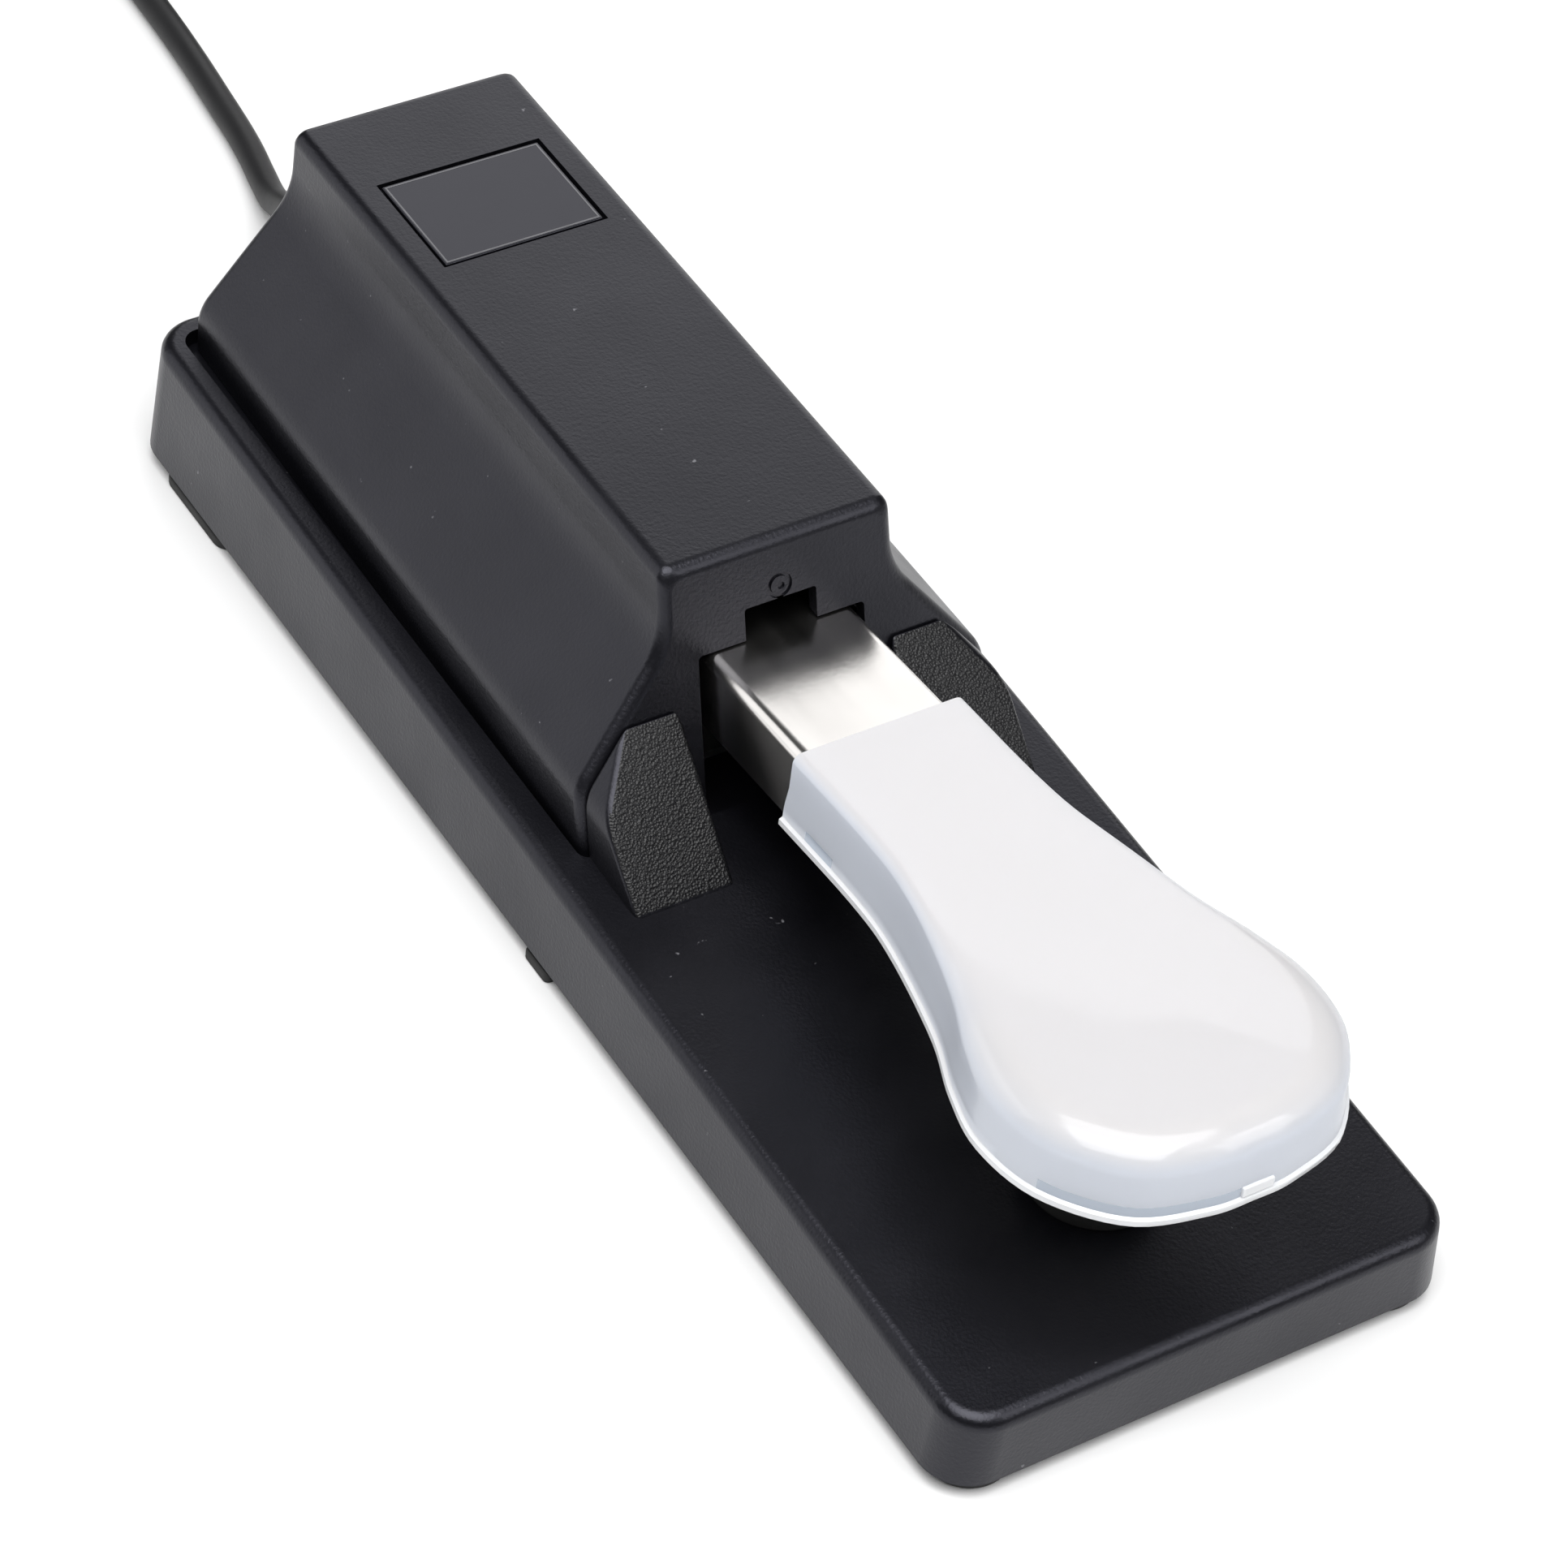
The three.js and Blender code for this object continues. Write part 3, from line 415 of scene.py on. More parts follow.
def rubber():
    look = Look("black_rubber", (0.018, 0.018, 0.018), 0.75)
    look.bump(look.noise(1300, 3), 0.06 * MM)
    look.drive("Roughness", look.noise(150, 3), [(0.3, 0.66), (0.7, 0.85)])
    return look.material


def gloss_plastic():
    look = Look("gloss_black", (0.004, 0.004, 0.006), 0.12)
    look.set("Specular Tint", (0.86, 0.86, 1, 1))
    look.bump(look.noise(70, 2), 0.03 * MM)
    look.drive("Roughness", look.noise(300, 4), [(0.4, 0.1), (0.75, 0.22)])
    return look.material


def silver_line():
    look = Look("silver_line", (0.16, 0.16, 0.17), 0.35, 0.8)
    look.bump(look.noise(900, 2), 0.01 * MM)
    look.drive("Roughness", look.noise(400, 2), [(0.3, 0.3), (0.7, 0.45)])
    return look.material


def nylon():
    look = Look("nylon", (0.72, 0.69, 0.6), 0.45)
    look.set("Subsurface Weight", 0.2)
    look.set("Subsurface Scale", 1 * MM)
    look.bump(look.noise(700, 3), 0.03 * MM)
    look.drive("Roughness", look.noise(100, 3), [(0.3, 0.38), (0.7, 0.55)])
    return look.material


def board_material():
    look = Look("phenolic_board", (0.33, 0.2, 0.08), 0.5)
    look.bump(look.noise(600, 4), 0.03 * MM)
    look.drive("Base Color", look.noise(120, 5), [(0.3, (0.28, 0.17, 0.07)), (0.7, (0.4, 0.25, 0.1))])
    return look.material


def coloured_plastic(name, colour):
    look = Look(name, colour, 0.42)
    look.bump(look.noise(900, 2), 0.03 * MM)
    look.drive("Roughness", look.noise(200, 3), [(0.3, 0.36), (0.7, 0.5)])
    return look.material


def cord_vinyl():
    look = Look("cord_vinyl", (0.005, 0.005, 0.006), 0.5)
    look.bump(look.noise(800, 3), 0.03 * MM)
    look.drive("Roughness", look.noise(60, 4), [(0.3, 0.44), (0.7, 0.6)])
    return look.material


BODY_PLASTIC = black_plastic("fine_grain_black", 1800, 0.05 * MM, 0.36)
GRAIN = grained_plastic()
NICKEL = nickel()
MILKY = milky_plastic()
CLEAR_RIM = clear_rim("clear_rim", (0.95, 0.96, 0.98))
# Painted shade: a darker bluish grey for strips of the cap's left wall, standing in for the shaded lever seen
# through it.
SHADE_STRIP_LOOK = clear_rim("painted_shade_strip", (0.52, 0.58, 0.67))
STEEL = zinc_steel()
RUBBER = rubber()
GLOSS = gloss_plastic()
SILVER = silver_line()
NYLON = nylon()
BOARD = board_material()
SWITCH = coloured_plastic("switch_blue", (0.02, 0.04, 0.12))
LEAD = coloured_plastic("lead_red", (0.4, 0.03, 0.02))
VINYL = cord_vinyl()


# ---- meshes ----


def add_mesh(name, vertices, faces):
    mesh = bpy.data.meshes.new(name)
    mesh.from_pydata([tuple(v) for v in vertices], [], faces)
    piece = bpy.data.objects.new(name, mesh)
    scene.collection.objects.link(piece)
    clean(piece, 0.001 * MM)
    return piece


def clean(piece, distance, slivers=False):
    """Joins points closer than `distance`, drops slivers if asked, and turns the faces out."""
    shape = bmesh.new()
    shape.from_mesh(piece.data)
    bmesh.ops.remove_doubles(shape, verts=shape.verts, dist=distance)
    if slivers:
        bmesh.ops.dissolve_degenerate(shape, edges=shape.edges, dist=0.001 * MM)
    bmesh.ops.recalc_face_normals(shape, faces=shape.faces)
    shape.to_mesh(piece.data)
    shape.free()


def smooth(piece, sharp_degrees=32):
    piece.data.shade_smooth()
    piece.data.set_sharp_from_angle(angle=math.radians(sharp_degrees))


def apply_modifiers(piece):
    graph = bpy.context.evaluated_depsgraph_get()
    mesh = bpy.data.meshes.new_from_object(piece.evaluated_get(graph))
    piece.modifiers.clear()
    piece.data = mesh


def combine(piece, other, operation):
    """Boolean with another piece, which is used up."""
    boolean = piece.modifiers.new("boolean", "BOOLEAN")
    boolean.operation = operation
    boolean.solver = "EXACT"
    boolean.object = other
    apply_modifiers(piece)
    bpy.data.objects.remove(other)
    return piece


def cut(piece, *others):
    for other in others:
        combine(piece, other, "DIFFERENCE")
    return piece


def add_bevel(piece, width, segments, angle):
    bevel = piece.modifiers.new("edges", "BEVEL")
    bevel.width = width
    bevel.segments = segments
    bevel.limit_method = "ANGLE"
    bevel.angle_limit = math.radians(angle)
    return bevel


def soften(piece, width, segments=3, angle=40):
    """Rounds the sharp edges and keeps the flat faces flat in the light."""
    add_bevel(piece, width, segments, angle).miter_outer = "MITER_ARC"
    apply_modifiers(piece)
    smooth(piece, 48)
    weighted = piece.modifiers.new("flat_faces", "WEIGHTED_NORMAL")
    weighted.keep_sharp = True
    weighted.weight = 80
    return piece


def finish(piece, material, body, slot, *nodes):
    piece.data.materials.clear()
    piece.data.materials.append(material)
    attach(piece, body)
    if nodes:
        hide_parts(*nodes)
    return piece


def rounded(corners, steps=8):
    """Points of an outline whose corners (u, v, radius) are rounded with arcs."""
    points = []
    for i, (u, v, radius) in enumerate(corners):
        corner = Vector((u, v))
        if not radius:
            points.append(corner)
            continue
        back = (Vector(corners[i - 1][:2]) - corner).normalized()
        on = (Vector(corners[(i + 1) % len(corners)][:2]) - corner).normalized()
        half = math.acos(max(-1, min(1, back.dot(on)))) / 2
        centre = corner + (back + on).normalized() * (radius / math.sin(half))
        start = corner + back * (radius / math.tan(half)) - centre
        end = corner + on * (radius / math.tan(half)) - centre
        sweep = start.angle_signed(end)
        for step in range(steps + 1):
            points.append(centre + Matrix.Rotation(-sweep * step / steps, 2) @ start)
    return points


def round_over(radius, steps):
    """A rounded edge in steps, as (inset, depth), from the wall up to the flat face."""
    arc = [math.pi / 2 * step / steps for step in range(steps + 1)]
    return [(radius * (1 - math.cos(angle)), radius * (1 - math.sin(angle))) for angle in arc]


def rectangle(half_width, low, high, corner):
    """A rounded rectangle that is even about the middle plane, from y = low to y = high."""
    right = [(half_width, low, corner), (half_width, high, corner)]
    left = [(-half_width, high, corner), (-half_width, low, corner)]
    return right + left


def centre_of(node):
    """Centre of a CAD piece."""
    low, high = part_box(node)
    return tuple((a + b) / 2 for a, b in zip(low, high))


def prism(name, points, axis, low, high):
    """An outline in (x, y), (x, z) or (y, z), drawn out along Z, Y or X."""

    def at(point, distance):
        u, v = point
        return {"X": (distance, u, v), "Y": (u, distance, v), "Z": (u, v, distance)}[axis]

    count = len(points)
    vertices = [at(p, low) for p in points] + [at(p, high) for p in points]
    faces = [list(range(count)), list(range(count, 2 * count))]
    faces += [(i, (i + 1) % count, count + (i + 1) % count, count + i) for i in range(count)]
    return add_mesh(name, vertices, faces)


def block(name, x, y, z):
    return prism(name, [(x[0], y[0]), (x[1], y[0]), (x[1], y[1]), (x[0], y[1])], "Z", *z)


def middle_block(name, half_width, y, z):
    return block(name, (-half_width, half_width), y, z)


def loft(name, rings):
    """A closed skin over rings that have the same number of points."""
    count = len(rings[0])
    vertices = [v for ring in rings for v in ring]
    faces = []
    for r in range(len(rings) - 1):
        for i in range(count):
            j = (i + 1) % count
            faces.append((r * count + i, r * count + j, (r + 1) * count + j, (r + 1) * count + i))
    faces.append(list(range(count)))
    faces.append(list(range(len(vertices) - count, len(vertices))))
    return add_mesh(name, vertices, faces)


def rod(name, radius, axis, low, high, centre, sides=48):
    ring = [
        (
            centre[0] + radius * math.cos(2 * math.pi * i / sides),
            centre[1] + radius * math.sin(2 * math.pi * i / sides),
        )
        for i in range(sides)
    ]
    return prism(name, ring, axis, low, high)


def turned(name, profile, axis, centre, sides=64):
    """A turned piece; its profile is (radius, distance along the axis)."""
    rings = []
    for radius, along in profile:
        ring = []
        for i in range(sides):
            angle = 2 * math.pi * i / sides
            u, v = radius * math.cos(angle), radius * math.sin(angle)
            offset = {"X": (along, u, v), "Y": (u, along, v), "Z": (u, v, along)}[axis]
            ring.append(Vector(centre) + Vector(offset))
        rings.append(ring)
    return loft(name, rings)


# ---- base ----


def base_top_at(y):
    return BASE_TOP + BASE_SLOPE * y


def base_ring(inset, drop):
    """Outline of the base's top, `inset` inside its edge and `drop` below its surface."""
    half = base_high.x - BASE_TOP_NARROWER - inset
    corner = max(BASE_CORNER - inset, 1.5 * MM)
    plan = rectangle(half, base_low.y + TOE_SETBACK + inset, HEEL_TOP_Y - inset, corner)
    return [(x, y, base_top_at(y) - drop) for x, y in rounded(plan, CORNER_STEPS)]


def bottom_ring(inset, z):
    plan = rectangle(base_high.x - inset, base_low.y + inset, base_high.y - inset, BASE_CORNER - inset)
    return [(x, y, z) for x, y in rounded(plan, CORNER_STEPS)]


def base_body():
    rings = [bottom_ring(FOOT_CHAMFER, base_low.z), bottom_ring(0, base_low.z + FOOT_CHAMFER)]
    rings += [base_ring(inset, drop) for inset, drop in round_over(BASE_TOP_EDGE, EDGE_STEPS)]
    return loft("base", rings)


def above_base_top(name, plan, drop):
    """What stands over an outline, from `drop` below the base's sloping top."""
    low = [(x, y, base_top_at(y) - drop) for x, y in plan]
    high = [(x, y, FAR) for x, y in plan]
    return loft(name, [low, high])


def recess_tool():
    """What is cut away for the housing to stand in."""
    front, rear = RECESS_FRONT_HALF, RECESS_REAR_HALF
    rear_y = cover_high.y + FIT_GAP
    corners = [
        (front, RECESS_FRONT_Y, 2 * MM),
        (rear, rear_y, 3 * MM),
        (-rear, rear_y, 3 * MM),
        (-front, RECESS_FRONT_Y, 2 * MM),
    ]
    return above_base_top("recess", rounded(corners), RECESS_DEPTH)


def base_cavity():
    """The room inside the base, lower under the recess so that a ledge stays."""
    rings = [bottom_ring(BASE_WALL, -1 * MM), base_ring(BASE_WALL, BASE_WALL)]
    cavity = loft("cavity", rings)
    half = RECESS_REAR_HALF + LEDGE_MARGIN
    front = RECESS_FRONT_Y - LEDGE_MARGIN
    plan = [(half, front), (half, 2 * FAR), (-half, 2 * FAR), (-half, front)]
    return cut(cavity, above_base_top("ledge", plan, RECESS_DEPTH + LEDGE_THICKNESS))


def hat_section(inset, bottom):
    """The housing's section as (x, z), `inset` inside its outside."""
    run = cover_high.x - HUMP_HALF_WIDTH
    rise = HUMP_FOOT - SKIRT_TOP
    skirt, hump = cover_high.x - inset, HUMP_HALF_WIDTH - inset
    top = cover_high.z - inset

    def slope_at(x):
        return SKIRT_TOP + ((cover_high.x - x) * rise - inset * math.hypot(run, rise)) / run

    right = [
        (skirt, bottom, 0),
        (skirt, slope_at(skirt), SKIRT_CORNER),
        (hump, slope_at(hump), HUMP_FILLET),
        (hump - HUMP_LEAN, top, TOP_CORNER),
    ]
    left = [(-x, z, radius) for x, z, radius in reversed(right)]
    return rounded(right + left)


def front_face_y(z):
    return FRONT_AT_FLOOR + FRONT_LEAN * z


def fairing(side):
    """One of the base's shoulders: the housing's section carried forward and cut by a ramp."""
    root_y = FAIRING_TIP_Y + FAIRING_LENGTH
    root_z = FAIRING_TIP_Z + FAIRING_LENGTH * FAIRING_RISE
    foot = FAIRING_TIP_Z - FAIRING_ROOT
    profile = [(FAIRING_TIP_Y, foot), (FAIRING_TIP_Y, FAIRING_TIP_Z), (root_y, root_z), (root_y, foot)]
    inner, outer = side * FAIRING_INNER, side * FAIRING_OUTER
    piece = prism("fairing", profile, "X", min(inner, outer), max(inner, outer))
    section = prism("section", hat_section(FAIRING_INSET, 0), "Y", -40 * MM, 20 * MM)
    combine(piece, section, "INTERSECT")
    low, high = front_face_y(0) - FIT_GAP, front_face_y(FAR) - FIT_GAP
    behind = [(low, 0), (FAR, 0), (FAR, FAR), (high, FAR)]
    cut(piece, prism("behind", behind, "X", -FAR, FAR))
    add_bevel(piece, 0.9 * MM, 4, 35)
    apply_modifiers(piece)
    return piece


def add_base():
    base = base_body()
    cut(base, recess_tool())
    cut(base, base_cavity())
    for side in (-1, 1):
        combine(base, fairing(side), "UNION")
    bay = rounded(rectangle(BAY_HALF_WIDTH, *BAY_Y, 1 * MM))
    cut(base, prism("bay", bay, "Z", 0, FAR))
    cut(base, middle_block("bay_ends", BAY_END_HALF, BAY_END_Y, (0, FAR)))
    seat_radius = bumper_high.x + FIT_GAP
    seat_centre = (0, centre_of("toe_bumper")[1])
    cut(base, rod("seat", seat_radius, "Z", bumper_low.z - FIT_GAP, FAR, seat_centre, 96))
    cut(base, rod("cord_hole", CORD_HOLE_RADIUS, "Y", 110 * MM, 130 * MM, (0, CORD_Z)))
    soften(base, 0.35 * MM)
    finish(base, BODY_PLASTIC, "frame", "black_abs", "base_shell")
    base.data.materials.append(GRAIN)
    paint_ramps(base)


def paint_ramps(base):
    """The ramps of the fairings carry a coarser grain than the rest."""
    for face in base.data.polygons:
        on_ramp = face.normal.y < -0.5 and 0.5 < face.normal.z < 0.85
        if on_ramp and face.center.z > FAIRING_TIP_Z and face.center.y > FAIRING_TIP_Y:
            face.material_index = 1


# ---- housing ----


def housing_body(name, inset, edge, bottom=0.0):
    """The housing's outside, or with an inset its inside, with rounded front and rear edges."""
    arc = round_over(edge, EDGE_STEPS)
    rings = []
    for back, shrink in arc:
        back += inset * math.hypot(1, FRONT_LEAN)
        rings.append([(x, front_face_y(z) + back, z) for x, z in hat_section(inset + shrink, bottom)])
    for forward, shrink in reversed(arc):
        y = cover_high.y - (forward + inset)
        rings.append([(x, y, z) for x, z in hat_section(inset + shrink, bottom)])
    return loft(name, rings)


def slot_outline():
    """The lever's slot with the notch above it; it runs out below the housing."""
    right = [
        (SLOT_HALF_WIDTH, 0, 0),
        (SLOT_HALF_WIDTH, SLOT_TOP, 0.8 * MM),
        (NOTCH_HALF_WIDTH, SLOT_TOP, 0),
        (NOTCH_HALF_WIDTH, NOTCH_TOP, 0.5 * MM),
    ]
    left = [(-x, z, radius) for x, z, radius in reversed(right)]
    return rounded(right + left)


def add_housing():
    cover = housing_body("housing", 0, HOUSING_EDGE)
    cut(cover, housing_body("inside", HOUSING_WALL, 0.01 * MM, -5 * MM))
    floor_drop = RECESS_DEPTH - FIT_GAP
    under = [(-FAR, 0), (2 * FAR, 0)]
    under += [(y, base_top_at(y) - floor_drop) for y in (2 * FAR, -FAR)]
    cut(cover, prism("under", under, "X", -FAR, FAR))
    cut(cover, prism("slot", slot_outline(), "Y", -20 * MM, 8 * MM))
    badge_y = (badge_low.y - BADGE_GAP, badge_high.y + BADGE_GAP)
    badge_z = (badge_low.z - FIT_GAP, FAR)
    cut(cover, middle_block("badge", badge_high.x + BADGE_GAP, badge_y, badge_z))
    add_gate_mark(cover)
    soften(cover, 0.3 * MM, 3, 50)
    finish(cover, BODY_PLASTIC, "frame", "black_abs", "housing_cover")


def add_gate_mark(cover):
    """The small round scar that the moulding leaves on the front face above the notch."""
    place = Matrix.Translation((0, front_face_y(GATE_MARK_Z), GATE_MARK_Z))
    lean = Matrix.Rotation(-math.atan(FRONT_LEAN), 4, "X")
    groove = rod("groove", 2.1 * MM, "Y", -0.4 * MM, 0.35 * MM, (0, 0))
    cut(groove, rod("rim", 1.5 * MM, "Y", -1 * MM, 1 * MM, (0, 0)))
    groove.data.transform(place @ lean)
    scar = rod("scar", 0.6 * MM, "Y", -0.4 * MM, 0.3 * MM, (0.2 * MM, -0.1 * MM), 24)
    scar.data.transform(place @ lean)
    cut(cover, groove, scar)


def add_badge():
    """A plain plate with a thin bright line near its edge."""
    plate = middle_block("badge", badge_high.x, (badge_low.y, badge_high.y), (badge_low.z, badge_high.z))
    soften(plate, 0.2 * MM)
    finish(plate, GLOSS, "frame", "gloss_black", "badge_plate")

    def within(name, inset, z):
        y = (badge_low.y + inset, badge_high.y - inset)
        return middle_block(name, badge_high.x - inset, y, z)

    line = within("badge_line", BADGE_LINE_INSET, (badge_high.z - 0.1 * MM, badge_high.z + 0.03 * MM))
    cut(line, within("window", BADGE_LINE_INSET + BADGE_LINE_WIDTH, (0, FAR)))
    finish(line, SILVER, "frame", "gloss_black")


# ---- lever and cap ----


def smooth_step(value):
    value = max(0.0, min(1.0, value))
    return value * value * (3 - 2 * value)


def half_outline(steps=56):
    """Points of the rim's right half on a Catmull-Rom curve, with the directions that point inwards."""
    stations = [Vector((x * MM, y * MM)) for x, y in CAP_STATIONS]
    stations = [stations[0] + Vector((0, 10 * MM))] + stations
    last = stations[-2]
    stations.append(Vector((-last.x, last.y)))
    points = []
    spans = len(stations) - 3
    for step in range(steps + 1):
        where = spans * step / steps
        i = min(int(where), spans - 1)
        t = where - i
        a, b, c, d = stations[i : i + 4]
        square, cube = 2 * a - 5 * b + 4 * c - d, 3 * b - a - 3 * c + d
        point = 0.5 * (2 * b + (c - a) * t + square * t**2 + cube * t**3)
        along = 0.5 * (c - a + 2 * square * t + 3 * cube * t**2)
        inward = Vector((along.y, -along.x)).normalized()
        points.append((point, inward))
    points[-1] = (Vector((0, stations[-2].y)), Vector((0, 1)))
    return points


def skin_rows(rim, rear_y, edge_neck, edge_toe, crown):
    """For each point of the outline, a row of (place, depth below the top) from the rim to the spine."""
    outline = half_outline()
    if rear_y > outline[0][0].y:
        first = outline[0][0].x
        outline = [(Vector((first, rear_y)), Vector((-1, 0)))] + outline
    rows = []
    for point, inward in outline:
        toe_share = smooth_step((TOE_START_Y - point.y) / TOE_BLEND)
        edge = edge_neck + (edge_toe - edge_neck) * toe_share
        spread = 1 + 0.7 * toe_share
        row = [(point + inward * inset, depth) for inset, depth in rim]
        for inset, depth in round_over(edge, 7):
            row.append((point + inward * (rim[-1][0] + spread * inset), depth))
        shoulder = row[-1][0]
        spine = Vector((0, max(point.y, PAD_CENTRE_Y)))
        for share in (0.12, 0.3, 0.55, 0.8, 1.0):
            rise = crown * toe_share * (1 - (1 - share) ** 2)
            row.append((shoulder.lerp(spine, share), -rise))
        rows.append(row)
    return rows


def pedal_skin(name, rim, rear_y, top, edge_neck, edge_toe, crown, wall):
    """A lid over the pedal's outline, open below and behind. rim: (inset, depth below top) up to the edge."""
    rows = skin_rows(rim, rear_y, edge_neck, edge_toe, crown)
    vertices, faces = [], []
    columns = len(rows[0])
    for side in (1, -1):
        start = len(vertices)
        for row in rows:
            for place, depth in row:
                vertices.append((side * place.x, place.y, top + LEVER_SLOPE * place.y - depth))
        for r in range(len(rows) - 1):
            for c in range(columns - 1):
                a = start + r * columns + c
                faces.append((a, a + 1, a + columns + 1, a + columns))
    skin = add_mesh(name, vertices, faces)
    clean(skin, 0.01 * MM, slivers=True)
    face_up(skin)
    shell = skin.modifiers.new("wall", "SOLIDIFY")
    shell.thickness = wall
    shell.offset = -1
    shell.use_even_offset = True
    apply_modifiers(skin)
    return skin


def face_up(piece):
    """An open skin's faces may all point down: its top has to face up."""
    top = max(piece.data.polygons, key=lambda face: face.area * abs(face.normal.z))
    if top.normal.z < 0:
        piece.data.flip_normals()


def lever_top_at(y):
    return LEVER_TOP + LEVER_SLOPE * y


def add_lever():
    lever = pedal_skin(
        "lever",
        [(LEVER_INSET, LEVER_DEPTH), (LEVER_INSET, 6 * MM)],
        rear_y=LEVER_TAIL_Y,
        top=LEVER_TOP,
        edge_neck=LEVER_EDGE,
        edge_toe=LEVER_EDGE,
        crown=0,
        wall=LEVER_SHEET,
    )
    trim = [(-2 * FAR, 0), (NECK_START_Y, 0)]
    trim += [(y, lever_top_at(y) - LEVER_WEB) for y in (NECK_START_Y, -2 * FAR)]
    cut(lever, prism("trim", trim, "X", -FAR, FAR))
    cut(lever, rod("bore", PIN_BORE, "X", -FAR, FAR, centre_of("pivot_pin")[1:]))
    soften(lever, 0.25 * MM, 2, 60)
    finish(lever, NICKEL, "pedal", "nickel", "lever")
    for name, half_width, node, low in (
        ("stop_tongue", 5 * MM, "toe_bumper", 40.6 * MM),
        ("switch_tab", 3 * MM, "switch_plunger", 27.3 * MM),
    ):
        y = centre_of(node)[1]
        tab = middle_block(name, half_width, (y - 1 * MM, y + 1 * MM), (low, lever_top_at(y) - 1.5 * MM))
        soften(tab, 0.3 * MM)
        finish(tab, NICKEL, "pedal", "nickel")


def cap_depth_at(y, z):
    """How far a point lies below the cap's top."""
    return CAP_TOP + LEVER_SLOPE * y - z


def add_cap():
    rim = [
        (-0.2 * MM, CAP_DEPTH),
        (-0.6 * MM, CAP_DEPTH - 0.2 * MM),
        (-0.6 * MM, CAP_DEPTH - 1.2 * MM),
        (-0.05 * MM, CAP_DEPTH - 1.5 * MM),
        (0, CAP_DEPTH - 3.3 * MM),
        (0.1 * MM, 9 * MM),
        (0.45 * MM, 6.5 * MM),
    ]
    cap = pedal_skin(
        "pedal_cap",
        rim,
        rear_y=cap_high.y,
        top=CAP_TOP,
        edge_neck=CAP_NECK_EDGE,
        edge_toe=CAP_TOE_EDGE,
        crown=CAP_CROWN,
        wall=CAP_WALL,
    )
    smooth(cap, 60)
    finish(cap, MILKY, "pedal", "cap_plastic", "pedal_cap")
    paint_rim(cap)
    add_rim_tab()


def paint_rim(cap):
    """The rim is clear; two strips over it on the left, at the neck and round the toe, carry painted shade in
    a darker bluish grey.
    """
    cap.data.materials.append(CLEAR_RIM)
    cap.data.materials.append(SHADE_STRIP_LOOK)
    for face in cap.data.polygons:
        x, y, z = face.center
        over_edge = CAP_DEPTH - cap_depth_at(y, z)
        in_shade_strip = y < TOE_SHADE_Y or NECK_SHADE_Y[0] < y < NECK_SHADE_Y[1]
        if over_edge < RIM_HEIGHT:
            face.material_index = 1
        # Painted shade: a darker strip just over the rim on the left side, at the toe and the neck.
        elif over_edge < STRIP_SHADE_HEIGHT and x < -2 * MM and in_shade_strip:
            face.material_index = 2


def add_rim_tab():
    toe = cap_low.y
    tab = middle_block("rim_tab", 2.6 * MM, (toe - 0.5 * MM, toe + 0.5 * MM), (0, 1.8 * MM))
    z = CAP_TOP + LEVER_SLOPE * toe - CAP_DEPTH + 1.5 * MM
    tab.data.transform(Matrix.Translation((0.6 * MM, 0, z)))
    soften(tab, 0.2 * MM)
    finish(tab, CLEAR_RIM, "pedal", "cap_plastic")


# ---- feet, bumper and underside ----


def add_feet():
    for side in SIDES:
        node = "foot_toe_" + side
        low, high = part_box(node)
        radius = (high.x - low.x) / 2
        x, y, _ = centre_of(node)
        profile = [(0, 0), (radius - 0.5 * MM, 0), (radius, 0.5 * MM), (radius, high.z), (0, high.z)]
        foot = turned("toe_foot_" + side, profile, "Z", (x, y, 0))
        soften(foot, 0.15 * MM)
        finish(foot, RUBBER, "frame", "rubber", node)
        add_pad("middle", side, 1 * MM)
        add_pad("heel", side, 3 * MM)


def add_pad(place, side, corner):
    node = "foot_" + place + "_" + side
    low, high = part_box(node)
    plan = [(low.x, low.y), (high.x, low.y), (high.x, high.y), (low.x, high.y)]
    outline = rounded([(x, y, corner) for x, y in plan])
    foot = prism(place + "_foot_" + side, outline, "Z", low.z, high.z)
    soften(foot, 0.35 * MM)
    finish(foot, RUBBER, "frame", "rubber", node)


def add_bumper():
    radius = bumper_high.x
    profile = [
        (0, bumper_low.z),
        (radius, bumper_low.z),
        (radius, bumper_high.z - 0.9 * MM),
        (radius - 0.25 * MM, bumper_high.z - 0.3 * MM),
        (radius - 0.9 * MM, bumper_high.z),
        (0, bumper_high.z),
    ]
    bumper = turned("bumper", profile, "Z", (0, centre_of("toe_bumper")[1], 0), 96)
    smooth(bumper, 50)
    finish(bumper, RUBBER, "frame", "rubber", "toe_bumper")


def add_plate():
    plan = rounded(rectangle(plate_high.x, plate_low.y, plate_high.y, 5 * MM))
    plate = prism("underside_plate", plan, "Z", plate_low.z, plate_high.z)
    knob_low, knob_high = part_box("polarity_knob")
    window_x = (knob_low.x - KNOB_ROOM, knob_high.x + KNOB_ROOM)
    window_y = (knob_low.y - KNOB_ROOM, knob_high.y + KNOB_ROOM + KNOB_TRAVEL)
    cut(plate, block("window", window_x, window_y, (0, 10 * MM)))
    for place in SCREW_PLACES:
        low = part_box("plate_screw_" + place)[0]
        x, y, _ = centre_of("plate_screw_" + place)
        sink = [(0, 0), (3.3 * MM, 0), (3.1 * MM, low.z), (1.7 * MM, plate_high.z)]
        sink += [(1.7 * MM, 10 * MM), (0, 10 * MM)]
        cut(plate, turned("sink", sink, "Z", (x, y, 0)))
    soften(plate, 0.2 * MM, 2)
    finish(plate, STEEL, "frame", "zinc_steel", "bottom_plate")


